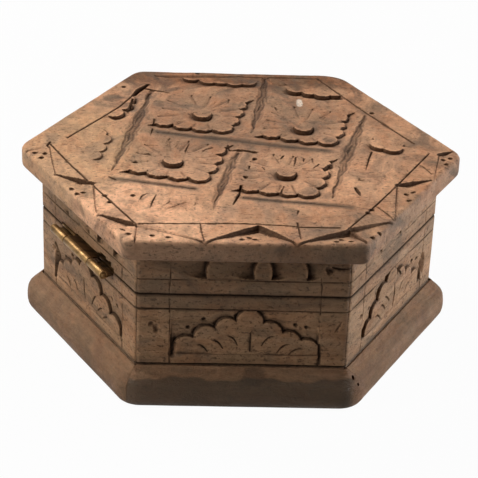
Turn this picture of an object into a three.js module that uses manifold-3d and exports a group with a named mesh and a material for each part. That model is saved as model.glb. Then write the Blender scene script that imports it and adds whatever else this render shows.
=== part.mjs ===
// Hexagonal carved wooden puzzle box with a hinged lid and a hidden lock.
// Millimetres, +Z up. The origin is on the table, under the centre of the hexagon.
// The corners point along X; the front side faces -Y, and the hinge is on the front-left side.
import * as THREE from 'three';
import { mergeVertices } from 'three/addons/utils/BufferGeometryUtils.js';
import Module from 'manifold-3d';

// ---------------------------------------------------------------- driving sizes
const side = 48;                // length of one side, measured on the outside of the boards
const wallThickness = 7;        // boards of the body and of the lid's rim
const bodyHeight = 27.75;       // table to the top of the body
const rimHeight = 10.6;         // height of the lid's rim boards
const floorThickness = 4;
const plateThickness = 5.6;     // carved plate on top of the lid
const plateOverhang = 4.4;      // plate past the boards
const plateCorners = [5, 2.4, 2, 5, 7.5, 4];  // plan radii: left, front left, front right, right, ...
const plinthHeight = 9.55;
const plinthDepth = 4.3;        // how far the plinth's nose stands out
const plinthCorner = 7.5;       // plan radius at the plinth's nose
// Section of the plinth as shares of its depth and height: a round nose under a sloped top.
const plinthSection = [[0.52, 0], [0.8, 0.07], [0.95, 0.19], [1, 0.34], [0.97, 0.5], [0.85, 0.66], [0.55, 0.8],
  [0.07, 0.995]];

const partingGap = 0.3;         // between the body and the closed lid
const glueLine = 0.1;           // between boards that are glued together
const fitGap = 0.3;             // between a part and what it lies on or slides along

// carving on the sides
const panelWidth = 34;
const panelBottom = 12.4;
const panelTop = 24.15;
const reliefDepth = 1;
const beadBandHeight = 6.2;     // hollowed band under the lid's plate
const beadBandDepth = 0.9;
const beadWidth = 3.8;
const hollowWidth = 7;
const scribeWidth = 0.5;        // scored lines around the sides
const scribeDepth = 0.4;
const scribeRise = 3.8;         // scored line above the lower edge of the lid's rim

// carving on the lid
const latticePitch = 26.3;      // from one flower tile to the next
const latticeAngle = -14.2;     // degrees
const latticeCentre = [0.1, 4.1];
const tileReach = 7;            // centre of the tile to the centres of its outer petals
const petalRadius = 2.45;
const moatWidth = 1.7;
const tileRelief = 1.2;
const buttonRadius = 2.4;
const dishRadius = 4.4;
const dishDepth = 0.7;
const borderWidths = [8, 8.8, 7, 3, 7.4, 6.4];  // plate's edge to the panel of tiles: front, front right, ...
const borderScore = [0.7, 0.5]; // line between panel and border: width, depth
// Triangles lowered like ramps in the border: which side, the deep corner, the two corners level with
// the face, each as [along the side, in from the plate's edge], and the depth.
const chips = [
  [0, [-23.3, 7.3], [-23.6, 1], [-9, 1], 0.8],
  [0, [2.9, 6.8], [-8.6, 1], [10.2, 1], 1.4],
  [0, [22.6, 6.1], [10.9, 1], [24.6, 1], 1.4],
  [1, [-21.4, 5.1], [-23.6, 1], [-12.9, 1], 1.1],
  [1, [2.7, 5.7], [-11, 1], [8.9, 1], 1.3],
  [5, [0.7, 4.4], [-7.5, 1], [10.5, 1], 1.3],
  [5, [21.2, 4.7], [13.1, 1], [23.4, 1], 1.3],
];
const gougeLength = 20;
const gougeWidth = 1.8;
const gougeDepth = 1.1;

// hinge
const hingeLength = 25.4;
const hingeCentre = 0.3;        // along the side, from its middle
const leafThickness = 0.8;
const leafDepth = 6;            // how far a leaf reaches in over the board
const knuckleRadius = 1.4;
const middleKnuckle = 11.6;
const knuckleGap = 0.15;
const pinRadius = 0.75;
const pinClearance = 0.06;
const axisOut = 2.3;            // hinge pin's centre, out from the boards
const hingeNotch = [26.6, 2.6, 2.6];  // cut in the rim's lower edge: length, depth, height
const screwSpacing = 15;
const screwHead = 1.4;
const screwShank = 0.7;
const screwLength = 5;
const screwPoint = 1;

// hidden lock: a plinth strip that slides, a bolt behind it, and a hooked catch on the lid
const stripTravel = 20;
const tongueLength = 20;
const tongueBottom = 1.2;
const tongueHeight = 3;
const tongueDepth = 1.7;
const tongueFlare = 0.45;       // how much wider the tongue is at its root's far side
const boltTravel = 6;
const boltLength = 13.6;
const boltHeight = 5.6;
const boltThickness = 3;
const noseLength = 6.4;         // narrow end that slides over the catch's hook
const noseHeight = 3.6;
const noseRaise = 0.4;          // above the middle of the bolt
const thumbWidth = 5;
const thumbHeight = 3;
const thumbSetback = 0.5;       // behind the plinth strip
const gripWidth = 2.4;          // fingernail notch in the bolt's thumb
const gripDepth = 1;
const keeperThickness = 2;
const keeperShelf = 2.8;
const keeperLength = 11;
const catchWidth = 7.4;
const catchThickness = 1.6;
const hookHeight = 0.9;         // of the catch under the bolt's nose
const catchScrewSpacing = 4.4;

// ---------------------------------------------------------------- derived sizes
const sixth = Math.PI / 3;
const tan30 = Math.tan(Math.PI / 6);
const cos30 = Math.cos(Math.PI / 6);
const outerFace = -side * cos30;              // y of the front side's outer face
const innerFace = outerFace + wallThickness;
const rimBottom = bodyHeight + partingGap;
const rimTop = rimBottom + rimHeight;
const lidTop = rimTop + plateThickness;
const axisHeight = bodyHeight + partingGap / 2;
const plateEdge = side * cos30 + plateOverhang;  // centre to the plate's edge

// ---------------------------------------------------------------- materials
const wood = (colour) => new THREE.MeshStandardMaterial({ color: colour, roughness: 0.72, metalness: 0 });
const carvedWood = wood(0x7a5440);
const plinthWood = wood(0x6b4a39);
const plainWood = wood(0x8a6448);
const brass = new THREE.MeshStandardMaterial({ color: 0xb08a45, roughness: 0.35, metalness: 1 });
const steel = new THREE.MeshStandardMaterial({ color: 0x8c8c88, roughness: 0.4, metalness: 1 });

// ---------------------------------------------------------------- solids
const wasm = await Module();
wasm.setup();

function solidFrom(geometry) {
  geometry.deleteAttribute('normal');
  geometry.deleteAttribute('uv');
  const merged = mergeVertices(geometry, 1e-5);
  const mesh = new wasm.Mesh({
    numProp: 3,
    vertProperties: Float32Array.from(merged.attributes.position.array),
    triVerts: Uint32Array.from(merged.index.array),
  });
  return new wasm.Manifold(mesh);
}

function geometryFrom(solid) {
  const mesh = solid.getMesh();
  const geometry = new THREE.BufferGeometry();
  geometry.setAttribute('position', new THREE.BufferAttribute(mesh.vertProperties, 3));
  geometry.setIndex(new THREE.BufferAttribute(mesh.triVerts, 1));
  geometry.computeVertexNormals();
  return geometry;
}

// A plan outline raised from one height to another.
function raised(shape, bottom, top, segments = 4) {
  const options = { depth: top - bottom, bevelEnabled: false, curveSegments: segments };
  return solidFrom(new THREE.ExtrudeGeometry(shape, options).translate(0, 0, bottom));
}

// An outline drawn on the front side (x along the side, y up), reaching from one depth to another.
function across(shape, outer, inner, segments = 4) {
  const options = { depth: inner - outer, bevelEnabled: false, curveSegments: segments };
  return solidFrom(new THREE.ExtrudeGeometry(shape, options).rotateX(Math.PI / 2).translate(0, inner, 0));
}

// A section (x is depth, y up) run along the side from left to right.
function alongSide(section, left, right) {
  const geometry = new THREE.ExtrudeGeometry(section, { depth: right - left, bevelEnabled: false });
  const turn = new THREE.Matrix4().makeBasis(
    new THREE.Vector3(0, 1, 0),
    new THREE.Vector3(0, 0, 1),
    new THREE.Vector3(1, 0, 0),
  );
  return solidFrom(geometry.applyMatrix4(turn).translate(left, 0, 0));
}

function block(left, right, outer, inner, bottom, top) {
  const geometry = new THREE.BoxGeometry(right - left, inner - outer, top - bottom);
  return solidFrom(geometry.translate((left + right) / 2, (outer + inner) / 2, (bottom + top) / 2));
}

function outline(points) {
  return new THREE.Shape(points.map(([x, y]) => new THREE.Vector2(x, y)));
}

// ---------------------------------------------------------------- outlines
// Half the length of a mitred board at a distance y from the centre, less half a glue line.
const mitre = (y) => -y * tan30 - glueLine / 2 / cos30;

function boardOutline(outer, inner) {
  const [far, near] = [mitre(outer), mitre(inner)];
  return outline([[-far, outer], [far, outer], [near, inner], [-near, inner]]);
}

// The points of a hexagon with rounded corners, the left corner first.
function hexagonRing(apothem, radii) {
  const steps = 4;
  return radii.flatMap((radius, corner) => {
    const direction = Math.PI + corner * sixth;
    const reach = (apothem - radius) / cos30;
    return Array.from({ length: steps + 1 }, (_, step) => {
      const angle = direction + (step / steps - 0.5) * sixth;
      return [
        reach * Math.cos(direction) + radius * Math.cos(angle),
        reach * Math.sin(direction) + radius * Math.sin(angle),
      ];
    });
  });
}

// A closed solid through level rings with equal numbers of points.
function stacked(levels) {
  const count = levels[0].ring.length;
  const positions = levels.flatMap(({ ring, z }) => ring.flatMap(([x, y]) => [x, y, z]));
  const indices = [];
  for (let level = 0; level + 1 < levels.length; level += 1) {
    for (let i = 0; i < count; i += 1) {
      const a = level * count + i;
      const b = level * count + ((i + 1) % count);
      indices.push(a, b, b + count, a, b + count, a + count);
    }
  }
  const last = (levels.length - 1) * count;
  for (let i = 1; i + 1 < count; i += 1) {
    indices.push(0, i + 1, i, last, last + i, last + i + 1);
  }
  const geometry = new THREE.BufferGeometry();
  geometry.setAttribute('position', new THREE.Float32BufferAttribute(positions, 3));
  geometry.setIndex(indices);
  return solidFrom(geometry);
}

// A hexagonal slab whose edge follows a profile of [how far out, height] points. Its corners are sharp at
// one distance out and reach their full plan radii at the nose.
function mouldedHexagon(profile, nose, radii, sharpAt) {
  const levels = profile.map(([out, z]) => {
    const share = (out - sharpAt) / (nose - sharpAt);
    return { ring: hexagonRing(side * cos30 + out, radii.map((radius) => Math.max(radius * share, 0.2))), z };
  });
  return stacked(levels);
}

// Where two neighbouring bumps of a scalloped outline cross, on the outer side.
function crossing([ax, ay, ar], [bx, by, br], outward) {
  const distance = Math.hypot(bx - ax, by - ay);
  const along = (distance * distance + ar * ar - br * br) / (2 * distance);
  const aside = Math.sqrt(Math.max(ar * ar - along * along, 0)) * outward;
  const [ux, uy] = [(bx - ax) / distance, (by - ay) / distance];
  return [ax + ux * along - uy * aside, ay + uy * along + ux * aside];
}

function addBump(shape, [x, y, radius], from, to) {
  const start = Math.atan2(from[1] - y, from[0] - x);
  const end = Math.atan2(to[1] - y, to[0] - x);
  shape.absarc(x, y, radius, start, end, true);
}

// A half-round fan of seven lobes standing on a straight foot.
function fanOutline(bottom, top, halfWidth) {
  const height = top - bottom;
  const lobes = [-3, -2, -1, 0, 1, 2, 3].map((step) => {
    const radius = (step === 0 ? 0.18 : 0.16) * halfWidth;
    const x = step * halfWidth * 0.287;
    const drop = [0, 0.19, 0.38, 0.6][Math.abs(step)] * height;
    return [x, top - radius - drop, radius];
  });
  const [first, last] = [lobes[0], lobes[lobes.length - 1]];
  const shape = new THREE.Shape();
  const footLeft = [first[0] - first[2], bottom];
  const footRight = [last[0] + last[2], bottom];
  shape.moveTo(...footLeft);
  shape.lineTo(first[0] - first[2], first[1]);
  let from = [first[0] - first[2], first[1]];
  lobes.forEach((lobe, index) => {
    const next = lobes[index + 1];
    const to = next ? crossing(lobe, next, 1) : [last[0] + last[2], last[1]];
    addBump(shape, lobe, from, to);
    from = to;
  });
  shape.lineTo(...footRight);
  shape.closePath();
  return shape;
}

// A square flower tile: twelve petals around its edge.
function tileOutline() {
  const corners = [[-1, -1], [-1, 1], [1, 1], [1, -1]];
  const petals = corners.flatMap(([x, y], index) => {
    const [nextX, nextY] = corners[(index + 1) % corners.length];
    return [0, 1, 2].map((step) => [
      THREE.MathUtils.lerp(x, nextX, step / 3) * tileReach,
      THREE.MathUtils.lerp(y, nextY, step / 3) * tileReach,
      petalRadius,
    ]);
  });
  const shape = new THREE.Shape();
  const around = (index) => petals[(index + petals.length) % petals.length];
  let from = crossing(around(-1), around(0), 1);
  shape.moveTo(...from);
  petals.forEach((petal, index) => {
    const to = crossing(petal, around(index + 1), 1);
    addBump(shape, petal, from, to);
    from = to;
  });
  return shape;
}

// ---------------------------------------------------------------- body
// Score lines around a side, and the carved panel with its fan.
function carveSide(board, scribeHeight) {
  const line = block(-side, side, outerFace - 1, outerFace + scribeDepth, scribeHeight - scribeWidth / 2,
    scribeHeight + scribeWidth / 2);
  return board.subtract(line);
}

function bodyBoard() {
  const board = raised(boardOutline(outerFace, innerFace), 0, bodyHeight);
  const half = panelWidth / 2;
  const floor = outerFace + reliefDepth;
  const ground = block(-half, half, outerFace - 1, floor, panelBottom, panelTop - scribeWidth);
  const fan = across(fanOutline(panelBottom - 1, panelTop - scribeWidth - 0.3, half - 0.8), outerFace - 2, floor + 1);
  return carveSide(board, panelTop).subtract(ground.subtract(fan));
}

function rimBoard() {
  const board = raised(boardOutline(outerFace, innerFace), rimBottom, rimTop);
  const bandBottom = rimTop - beadBandHeight;
  const hollow = (left, right) => {
    const middle = (left + right) / 2;
    const shape = new THREE.Shape();
    shape.absellipse(middle, outerFace, (right - left) / 2, beadBandDepth, 0, Math.PI * 2, false, 0);
    return raised(shape, bandBottom, rimTop + 1, 8);
  };
  const bead = beadWidth / 2;
  const carved = [
    hollow(bead, bead + hollowWidth),
    hollow(-bead - hollowWidth, -bead),
    hollow(bead + hollowWidth + 0.5, bead + hollowWidth * 1.8),
    hollow(-bead - hollowWidth * 1.8, -bead - hollowWidth - 0.5),
  ].reduce((rest, cut) => rest.subtract(cut), board);
  return carveSide(carved, rimBottom + scribeRise);
}

function baseBoard() {
  const apothem = -innerFace - fitGap / 2;
  const corners = Array.from({ length: 6 }, (_, corner) => [
    (apothem / cos30) * Math.cos(corner * sixth),
    (apothem / cos30) * Math.sin(corner * sixth),
  ]);
  return raised(outline(corners), 0, floorThickness);
}

// ---------------------------------------------------------------- plinth
function plinthProfile() {
  return plinthSection.map(([out, up]) => [out * plinthDepth, up * plinthHeight]);
}

const plinthRing = mouldedHexagon(plinthProfile(), plinthDepth, Array(6).fill(plinthCorner), 0.3);

// What lies between the two mitres of the front side, out from a distance.
function wedge(outFrom) {
  const far = outerFace - plinthDepth * 3;
  return raised(boardOutline(far, outFrom), -1, plinthHeight + 1);
}

const plinthBack = outerFace - glueLine;

function plinthStrip() {
  return plinthRing.intersect(wedge(plinthBack));
}

// The strip right of the front one ends where the sliding strip passes it.
function plinthStripBesideSecret() {
  const inner = outerFace + fitGap / 2;
  const pathOfFrontStrip = block(-side * 2, side * 2, outerFace - side, inner, -1, plinthHeight + 1);
  return plinthStrip().subtract(solidFrom(geometryFrom(pathOfFrontStrip).rotateZ(-sixth)));
}

// Dovetail seen from the end, run along the side from left to right.
function dovetail(left, right, clearance) {
  const back = outerFace + tongueDepth + clearance;
  const low = tongueBottom - clearance;
  const high = tongueBottom + tongueHeight + clearance;
  const root = outerFace - plinthDepth / 2;
  return alongSide(outline([
    [root, low + tongueFlare], [outerFace, low + tongueFlare], [back, low],
    [back, high], [outerFace, high - tongueFlare], [root, high - tongueFlare],
  ]), left, right);
}

const tongueLeft = -mitre(outerFace + tongueDepth) + fitGap;
const tongueRight = tongueLeft + tongueLength;

// Mitred at its left end only: its right end runs past the corner, so that it can slide out that way.
function secretStrip() {
  const far = side * 2;
  const back = outerFace - fitGap;
  const outsideFace = outline([[-mitre(-far), -far], [far, -far], [far, back], [-mitre(back), back]]);
  const strip = plinthRing.intersect(raised(outsideFace, fitGap, plinthHeight + 1));
  return strip.add(dovetail(tongueLeft, tongueRight, 0));
}

// ---------------------------------------------------------------- hidden lock
const boltBottom = floorThickness + fitGap;
const boltOuter = innerFace + fitGap;
const boltInner = boltOuter + boltThickness;
const boltLeft = -mitre(boltInner) + fitGap;
const noseBottom = boltBottom + (boltHeight - noseHeight) / 2 + noseRaise;
const boltRight = boltLeft + boltLength;
const thumbLeft = boltLeft + 1.6;
const catchLeft = boltRight + 0.8;
const keeperInner = boltInner + fitGap + keeperThickness;
const keeperLeft = -mitre(keeperInner) + fitGap;

function lockBolt() {
  const shoulder = boltRight - noseLength;
  const thumbTop = noseBottom + thumbHeight;
  const thumbFace = outerFace + thumbSetback;
  const bar = block(boltLeft, shoulder, boltOuter, boltInner, boltBottom, boltBottom + boltHeight);
  const nose = block(shoulder - 1, boltRight, boltOuter, boltInner, noseBottom, noseBottom + noseHeight);
  const thumb = block(thumbLeft, thumbLeft + thumbWidth, thumbFace, boltOuter + 1, noseBottom, thumbTop);
  const gripLeft = thumbLeft + thumbWidth / 2 - gripWidth / 2;
  const grip = block(gripLeft, gripLeft + gripWidth, outerFace, thumbFace + gripDepth, noseBottom - 1, thumbTop + 1);
  return bar.add(nose).add(thumb.subtract(grip));
}

// An L-shaped rail over the bolt, glued to the front board.
function boltKeeper() {
  const inner = boltInner + fitGap;
  const shelf = boltBottom + boltHeight + fitGap;
  const top = shelf + keeperShelf;
  return alongSide(outline([
    [boltOuter, shelf], [inner, shelf], [inner, boltBottom], [keeperInner, boltBottom], [keeperInner, top],
    [boltOuter, top],
  ]), keeperLeft, keeperLeft + keeperLength);
}

function boltSlot() {
  return block(thumbLeft - fitGap, thumbLeft + thumbWidth + boltTravel + fitGap, outerFace - 1, innerFace + 1,
    noseBottom - fitGap, noseBottom + thumbHeight + fitGap);
}

const catchScrewHeight = rimTop - 2.6;
const catchScrewXs = [-0.5, 0.5].map((share) => catchLeft + catchWidth / 2 + share * catchScrewSpacing);

function catchHook() {
  const outer = innerFace + fitGap;
  const inner = outer + catchThickness;
  const hookBottom = boltBottom + fitGap;
  const mouthRight = boltRight + boltTravel + fitGap;
  const plate = block(catchLeft, catchLeft + catchWidth, outer, inner, hookBottom, rimTop - fitGap);
  const mouth = block(catchLeft - 1, mouthRight, outer - 1, inner + 1, hookBottom + hookHeight,
    noseBottom + noseHeight + fitGap);
  return catchScrewXs.reduce(
    (rest, x) => rest.subtract(screwAcross(x, catchScrewHeight, pinClearance)),
    plate.subtract(mouth),
  );
}

// ---------------------------------------------------------------- screws
// A countersunk screw standing on its point, with the top of its head at height zero.
// The same shape, wider by a clearance, cuts its hole.
function screw(clearance) {
  const head = screwHead + clearance;
  const shank = screwShank + clearance;
  const profile = [
    [0, -screwLength - clearance],
    [shank, -screwLength + screwPoint],
    [shank, screwShank - screwHead],
    [head, 0],
  ];
  const above = clearance > 0 ? [[head, clearance], [0, clearance]] : [[0, 0]];
  const points = [...profile, ...above].map(([x, y]) => new THREE.Vector2(x, y));
  return new THREE.LatheGeometry(points, 16).rotateX(Math.PI / 2);
}

function screwDown(x, y, z, clearance) {
  return solidFrom(screw(clearance).translate(x, y, z));
}

function screwUp(x, y, z, clearance) {
  return solidFrom(screw(clearance).rotateX(Math.PI).translate(x, y, z));
}

// A screw driven outwards through the catch into the rim.
function screwAcross(x, z, clearance) {
  return solidFrom(screw(clearance).rotateX(-Math.PI / 2).translate(x, innerFace + fitGap + catchThickness, z));
}

// ---------------------------------------------------------------- hinge
const axisFace = outerFace - axisOut;
const leafLeft = hingeCentre - hingeLength / 2;
const leafRight = hingeCentre + hingeLength / 2;
const leafInner = outerFace + leafDepth;
const screwXs = [-0.5, 0.5].map((share) => hingeCentre + share * screwSpacing);
const screwFace = outerFace + leafDepth * 0.6;

function knuckle(left, right, radius) {
  const geometry = new THREE.CylinderGeometry(radius, radius, right - left, 24);
  return solidFrom(geometry.rotateZ(Math.PI / 2).translate((left + right) / 2, axisFace, axisHeight));
}

function hingePin() {
  return knuckle(leafLeft - 0.3, leafRight + 0.3, pinRadius);
}

function hingeLeaf(bottom, knuckles, screws) {
  const sheet = block(leafLeft, leafRight, outerFace + 0.3, leafInner, bottom, bottom + leafThickness);
  const joined = knuckles.reduce((rest, [left, right]) => {
    const strap = block(left, right, axisFace, outerFace + 1, bottom, bottom + leafThickness);
    return rest.add(strap).add(knuckle(left, right, knuckleRadius));
  }, sheet);
  const bored = joined.subtract(knuckle(leafLeft - 1, leafRight + 1, pinRadius + pinClearance));
  return screws.reduce((rest, cut) => rest.subtract(cut), bored);
}

const bodyLeafBottom = bodyHeight - leafThickness;
const middleLeft = hingeCentre - middleKnuckle / 2;
const middleRight = hingeCentre + middleKnuckle / 2;

function bodyLeaf() {
  const screws = screwXs.map((x) => screwDown(x, screwFace, bodyHeight, pinClearance));
  const knuckles = [[leafLeft, middleLeft - knuckleGap], [middleRight + knuckleGap, leafRight]];
  return hingeLeaf(bodyLeafBottom, knuckles, screws);
}

function lidLeaf() {
  const screws = screwXs.map((x) => screwUp(x, screwFace, rimBottom, pinClearance));
  return hingeLeaf(rimBottom, [[middleLeft, middleRight]], screws);
}

// Mortise for a leaf, with a saw's width around it.
function leafMortise(bottom, top) {
  return block(leafLeft - glueLine, leafRight + glueLine, outerFace - 1, leafInner + glueLine, bottom, top);
}

function hingeBodyBoard() {
  const cuts = [
    leafMortise(bodyLeafBottom - glueLine, bodyHeight + 1),
    ...screwXs.map((x) => screwDown(x, screwFace, bodyHeight, glueLine)),
    knuckle(leafLeft - 0.6, leafRight + 0.6, knuckleRadius + fitGap),
  ];
  return cuts.reduce((rest, cut) => rest.subtract(cut), bodyBoard());
}

function hingeRimBoard() {
  const [length, depth, height] = hingeNotch;
  const cuts = [
    leafMortise(rimBottom - 1, rimBottom + leafThickness + glueLine),
    block(hingeCentre - length / 2, hingeCentre + length / 2, outerFace - 1, outerFace + depth, rimBottom - 1,
      rimBottom + height),
    ...screwXs.map((x) => screwUp(x, screwFace, rimBottom, glueLine)),
  ];
  return cuts.reduce((rest, cut) => rest.subtract(cut), rimBoard());
}

// ---------------------------------------------------------------- front boards, cut for the lock
function frontBodyBoard() {
  const groove = dovetail(-side, tongueRight + stripTravel + fitGap, fitGap / 2);
  return bodyBoard().subtract(groove).subtract(boltSlot());
}

function frontRimBoard() {
  return catchScrewXs.reduce(
    (rest, x) => rest.subtract(screwAcross(x, catchScrewHeight, glueLine)),
    rimBoard(),
  );
}

// ---------------------------------------------------------------- lid plate
function plateProfile() {
  const radius = plateThickness / 2;
  const steps = 8;
  return Array.from({ length: steps + 1 }, (_, step) => {
    const angle = THREE.MathUtils.lerp(-Math.PI / 2, Math.PI / 2, step / steps);
    return [plateOverhang - radius + radius * Math.cos(angle), rimTop + radius + radius * Math.sin(angle)];
  });
}

function placedOnLattice(geometry, column, row) {
  const turn = THREE.MathUtils.degToRad(latticeAngle);
  const [x, y] = [column * latticePitch, row * latticePitch];
  return geometry.rotateZ(turn).translate(
    latticeCentre[0] + x * Math.cos(turn) - y * Math.sin(turn),
    latticeCentre[1] + x * Math.sin(turn) + y * Math.cos(turn),
    lidTop,
  );
}

function tileGround(column, row) {
  const reach = tileReach + petalRadius + moatWidth;
  const moat = new THREE.BoxGeometry(reach * 2, reach * 2, tileRelief * 2);
  const options = { depth: tileRelief * 4, bevelEnabled: false, curveSegments: 4 };
  const tile = new THREE.ExtrudeGeometry(tileOutline(), options);
  const dish = new THREE.CylinderGeometry(dishRadius, dishRadius * 0.85, dishDepth * 2, 20).rotateX(Math.PI / 2);
  const button = new THREE.CylinderGeometry(buttonRadius, buttonRadius, dishDepth * 4, 16).rotateX(Math.PI / 2);
  const place = (geometry) => solidFrom(placedOnLattice(geometry, column, row));
  return place(moat).subtract(place(tile.translate(0, 0, -tileRelief * 2)))
    .add(place(dish).subtract(place(button)));
}

// A long leaf-shaped V cut lying along the lattice.
function gouge(column, row, upright) {
  const half = gougeLength / 2;
  const shape = outline([[-half, 0], [0, -gougeWidth / 2], [half, 0], [0, gougeWidth / 2]]);
  const geometry = new THREE.ExtrudeGeometry(shape, { depth: gougeDepth * 2, bevelEnabled: false })
    .translate(0, 0, -gougeDepth);
  return solidFrom(placedOnLattice(upright ? geometry.rotateZ(Math.PI / 2) : geometry, column, row));
}

// The panel of flower tiles, grown by a distance: where each pair of neighbouring border lines meets.
function panelOutline(grown) {
  const reaches = borderWidths.map((width) => plateEdge - width + grown);
  return outline(reaches.map((reach, index) => {
    const next = reaches[(index + 1) % reaches.length];
    const [first, second] = [(index - 1.5) * sixth, (index - 0.5) * sixth];
    const turn = Math.sin(second - first);
    return [
      (reach * Math.sin(second) - next * Math.sin(first)) / turn,
      (next * Math.cos(first) - reach * Math.cos(second)) / turn,
    ];
  }));
}

function scoreAroundPanel() {
  const [width, depth] = borderScore;
  const prism = (grown) => raised(panelOutline(grown), lidTop - depth, lidTop + 1);
  return prism(width / 2).subtract(prism(-width / 2));
}

// A triangle of the border, cut down from level at its far edge to its depth at the deep corner.
function chip([sideIndex, deep, left, right, depth]) {
  const level = lidTop + 0.01;
  const at = ([x, inward], z) => new THREE.Vector3(x, inward - plateEdge, z)
    .applyAxisAngle(new THREE.Vector3(0, 0, 1), sideIndex * sixth).toArray();
  return wasm.Manifold.hull([at(deep, lidTop - depth), at(deep, level), at(left, level), at(right, level)]);
}

function lidPlate() {
  const plate = mouldedHexagon(plateProfile(), plateOverhang, plateCorners, -wallThickness);
  const panel = raised(panelOutline(0), lidTop - tileRelief * 2, lidTop + 1);
  const steps = [-1.5, -0.5, 0.5, 1.5];
  const grounds = steps.flatMap((column) => steps.map((row) => tileGround(column, row)));
  const upright = [-1, 0, 1].flatMap((column) => [-0.5, 0.5].map((row) => gouge(column, row, true)));
  const level = [-1, 0, 1].flatMap((row) => [-0.5, 0.5].map((column) => gouge(column, row, false)));
  const carving = [...grounds, ...upright, ...level].reduce((all, cut) => all.add(cut));
  return [scoreAroundPanel(), ...chips.map(chip)].reduce(
    (rest, cut) => rest.subtract(cut),
    plate.subtract(carving.intersect(panel)),
  );
}

// ---------------------------------------------------------------- assembly
function piece(name, solid, material) {
  const mesh = new THREE.Mesh(geometryFrom(solid), material);
  mesh.name = name;
  return mesh;
}

const box = new THREE.Group();
box.add(piece('base_board', baseBoard(), plainWood));
box.add(piece('lid_top', lidPlate(), carvedWood));

// The six sides in order round the box, each modelled at the front and turned into place.
const sides = [
  { at: 'front', body: frontBodyBoard, rim: frontRimBoard, plinth: null },
  { at: 'front_right', body: bodyBoard, rim: rimBoard, plinth: plinthStripBesideSecret },
  { at: 'back_right', body: bodyBoard, rim: rimBoard, plinth: plinthStrip },
  { at: 'back', body: bodyBoard, rim: rimBoard, plinth: plinthStrip },
  { at: 'back_left', body: bodyBoard, rim: rimBoard, plinth: plinthStrip },
  { at: 'front_left', body: hingeBodyBoard, rim: hingeRimBoard, plinth: plinthStrip },
];
const groups = sides.map(({ at, body, rim, plinth }, index) => {
  const group = new THREE.Group();
  group.rotation.z = index * sixth;
  group.add(piece(`wall_${at}`, body(), carvedWood));
  group.add(piece(`rim_${at}`, rim(), carvedWood));
  if (plinth) group.add(piece(`plinth_${at}`, plinth(), plinthWood));
  box.add(group);
  return group;
});

const [frontGroup] = groups;
frontGroup.add(piece('secret_strip', secretStrip(), plinthWood));
frontGroup.add(piece('lock_bolt', lockBolt(), plainWood));
frontGroup.add(piece('bolt_keeper', boltKeeper(), plainWood));
frontGroup.add(piece('catch_hook', catchHook(), brass));
catchScrewXs.forEach((x, index) => {
  frontGroup.add(piece(`catch_screw_${index + 1}`, screwAcross(x, catchScrewHeight, 0), steel));
});

const hingeGroup = groups[5];
hingeGroup.add(piece('hinge_leaf_body', bodyLeaf(), brass));
hingeGroup.add(piece('hinge_leaf_lid', lidLeaf(), brass));
hingeGroup.add(piece('hinge_pin', hingePin(), steel));
screwXs.forEach((x, index) => {
  hingeGroup.add(piece(`hinge_screw_body_${index + 1}`, screwDown(x, screwFace, bodyHeight, 0), brass));
  hingeGroup.add(piece(`hinge_screw_lid_${index + 1}`, screwUp(x, screwFace, rimBottom, 0), brass));
});

export default box;
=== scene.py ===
import math

import bpy
import numpy as np
from mathutils import Matrix


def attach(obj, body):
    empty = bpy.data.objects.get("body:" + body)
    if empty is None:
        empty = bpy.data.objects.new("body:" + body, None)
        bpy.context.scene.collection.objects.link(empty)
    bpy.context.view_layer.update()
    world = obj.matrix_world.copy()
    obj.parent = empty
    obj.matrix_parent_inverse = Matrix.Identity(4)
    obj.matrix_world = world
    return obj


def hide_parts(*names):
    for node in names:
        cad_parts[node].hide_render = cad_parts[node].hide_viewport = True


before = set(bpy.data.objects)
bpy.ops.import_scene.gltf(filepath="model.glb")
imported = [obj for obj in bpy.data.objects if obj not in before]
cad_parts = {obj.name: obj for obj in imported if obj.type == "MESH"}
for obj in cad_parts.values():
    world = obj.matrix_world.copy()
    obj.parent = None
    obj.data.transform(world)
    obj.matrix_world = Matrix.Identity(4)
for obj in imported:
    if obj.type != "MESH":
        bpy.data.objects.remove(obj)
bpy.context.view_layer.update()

# ---------------------------------------------------------------- base board
# The floor of the box: a plain hexagonal hardwood board, 4 mm thick, let in between the six body boards and glued.
# It is sawn, scraped and oiled, and only its grain and a little old wax show. Every piece of the box is shaped in
# mm and then set in metres. The box's corners point along X, and its front faces -Y.
MM = 0.001
SIXTH = math.pi / 3
# What darkens old wood: smeared grime, filled pits, rubbed-in soot that also carries painted shade, and dirt settled
# in hollows together with painted shade there.
GRIME, PIT_DIRT = (0.1, 0.077, 0.059), (0.05, 0.027, 0.016)
SOOT_AND_SHADE, SETTLED_DIRT_AND_SHADE = (0.069, 0.05, 0.035), (0.05, 0.028, 0.018)
LARGE_SPOT = 6.0        # mm; the edge of a larger spot of colour is torn by the smears, and not by the specks


def add_node(tree, kind, settings=(), **sockets):
    """A shader node with its settings. A socket is named with _ for a space, or by _ and its number, and is either
    linked to another node's output or given a value."""
    node = tree.nodes.new(f"ShaderNode{kind}")
    for key, value in dict(settings).items():
        setattr(node, key, value)
    for key, value in sockets.items():
        socket = node.inputs[int(key[1:]) if key[1:].isdigit() else key.replace("_", " ")]
        if isinstance(value, bpy.types.NodeSocket):
            tree.links.new(value, socket)
        else:
            socket.default_value = value
    return node


def new_material(name):
    """A material, its node tree and its shader."""
    material = bpy.data.materials.new(name)
    material.use_nodes = True
    return material, material.node_tree, material.node_tree.nodes["Principled BSDF"]


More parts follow.
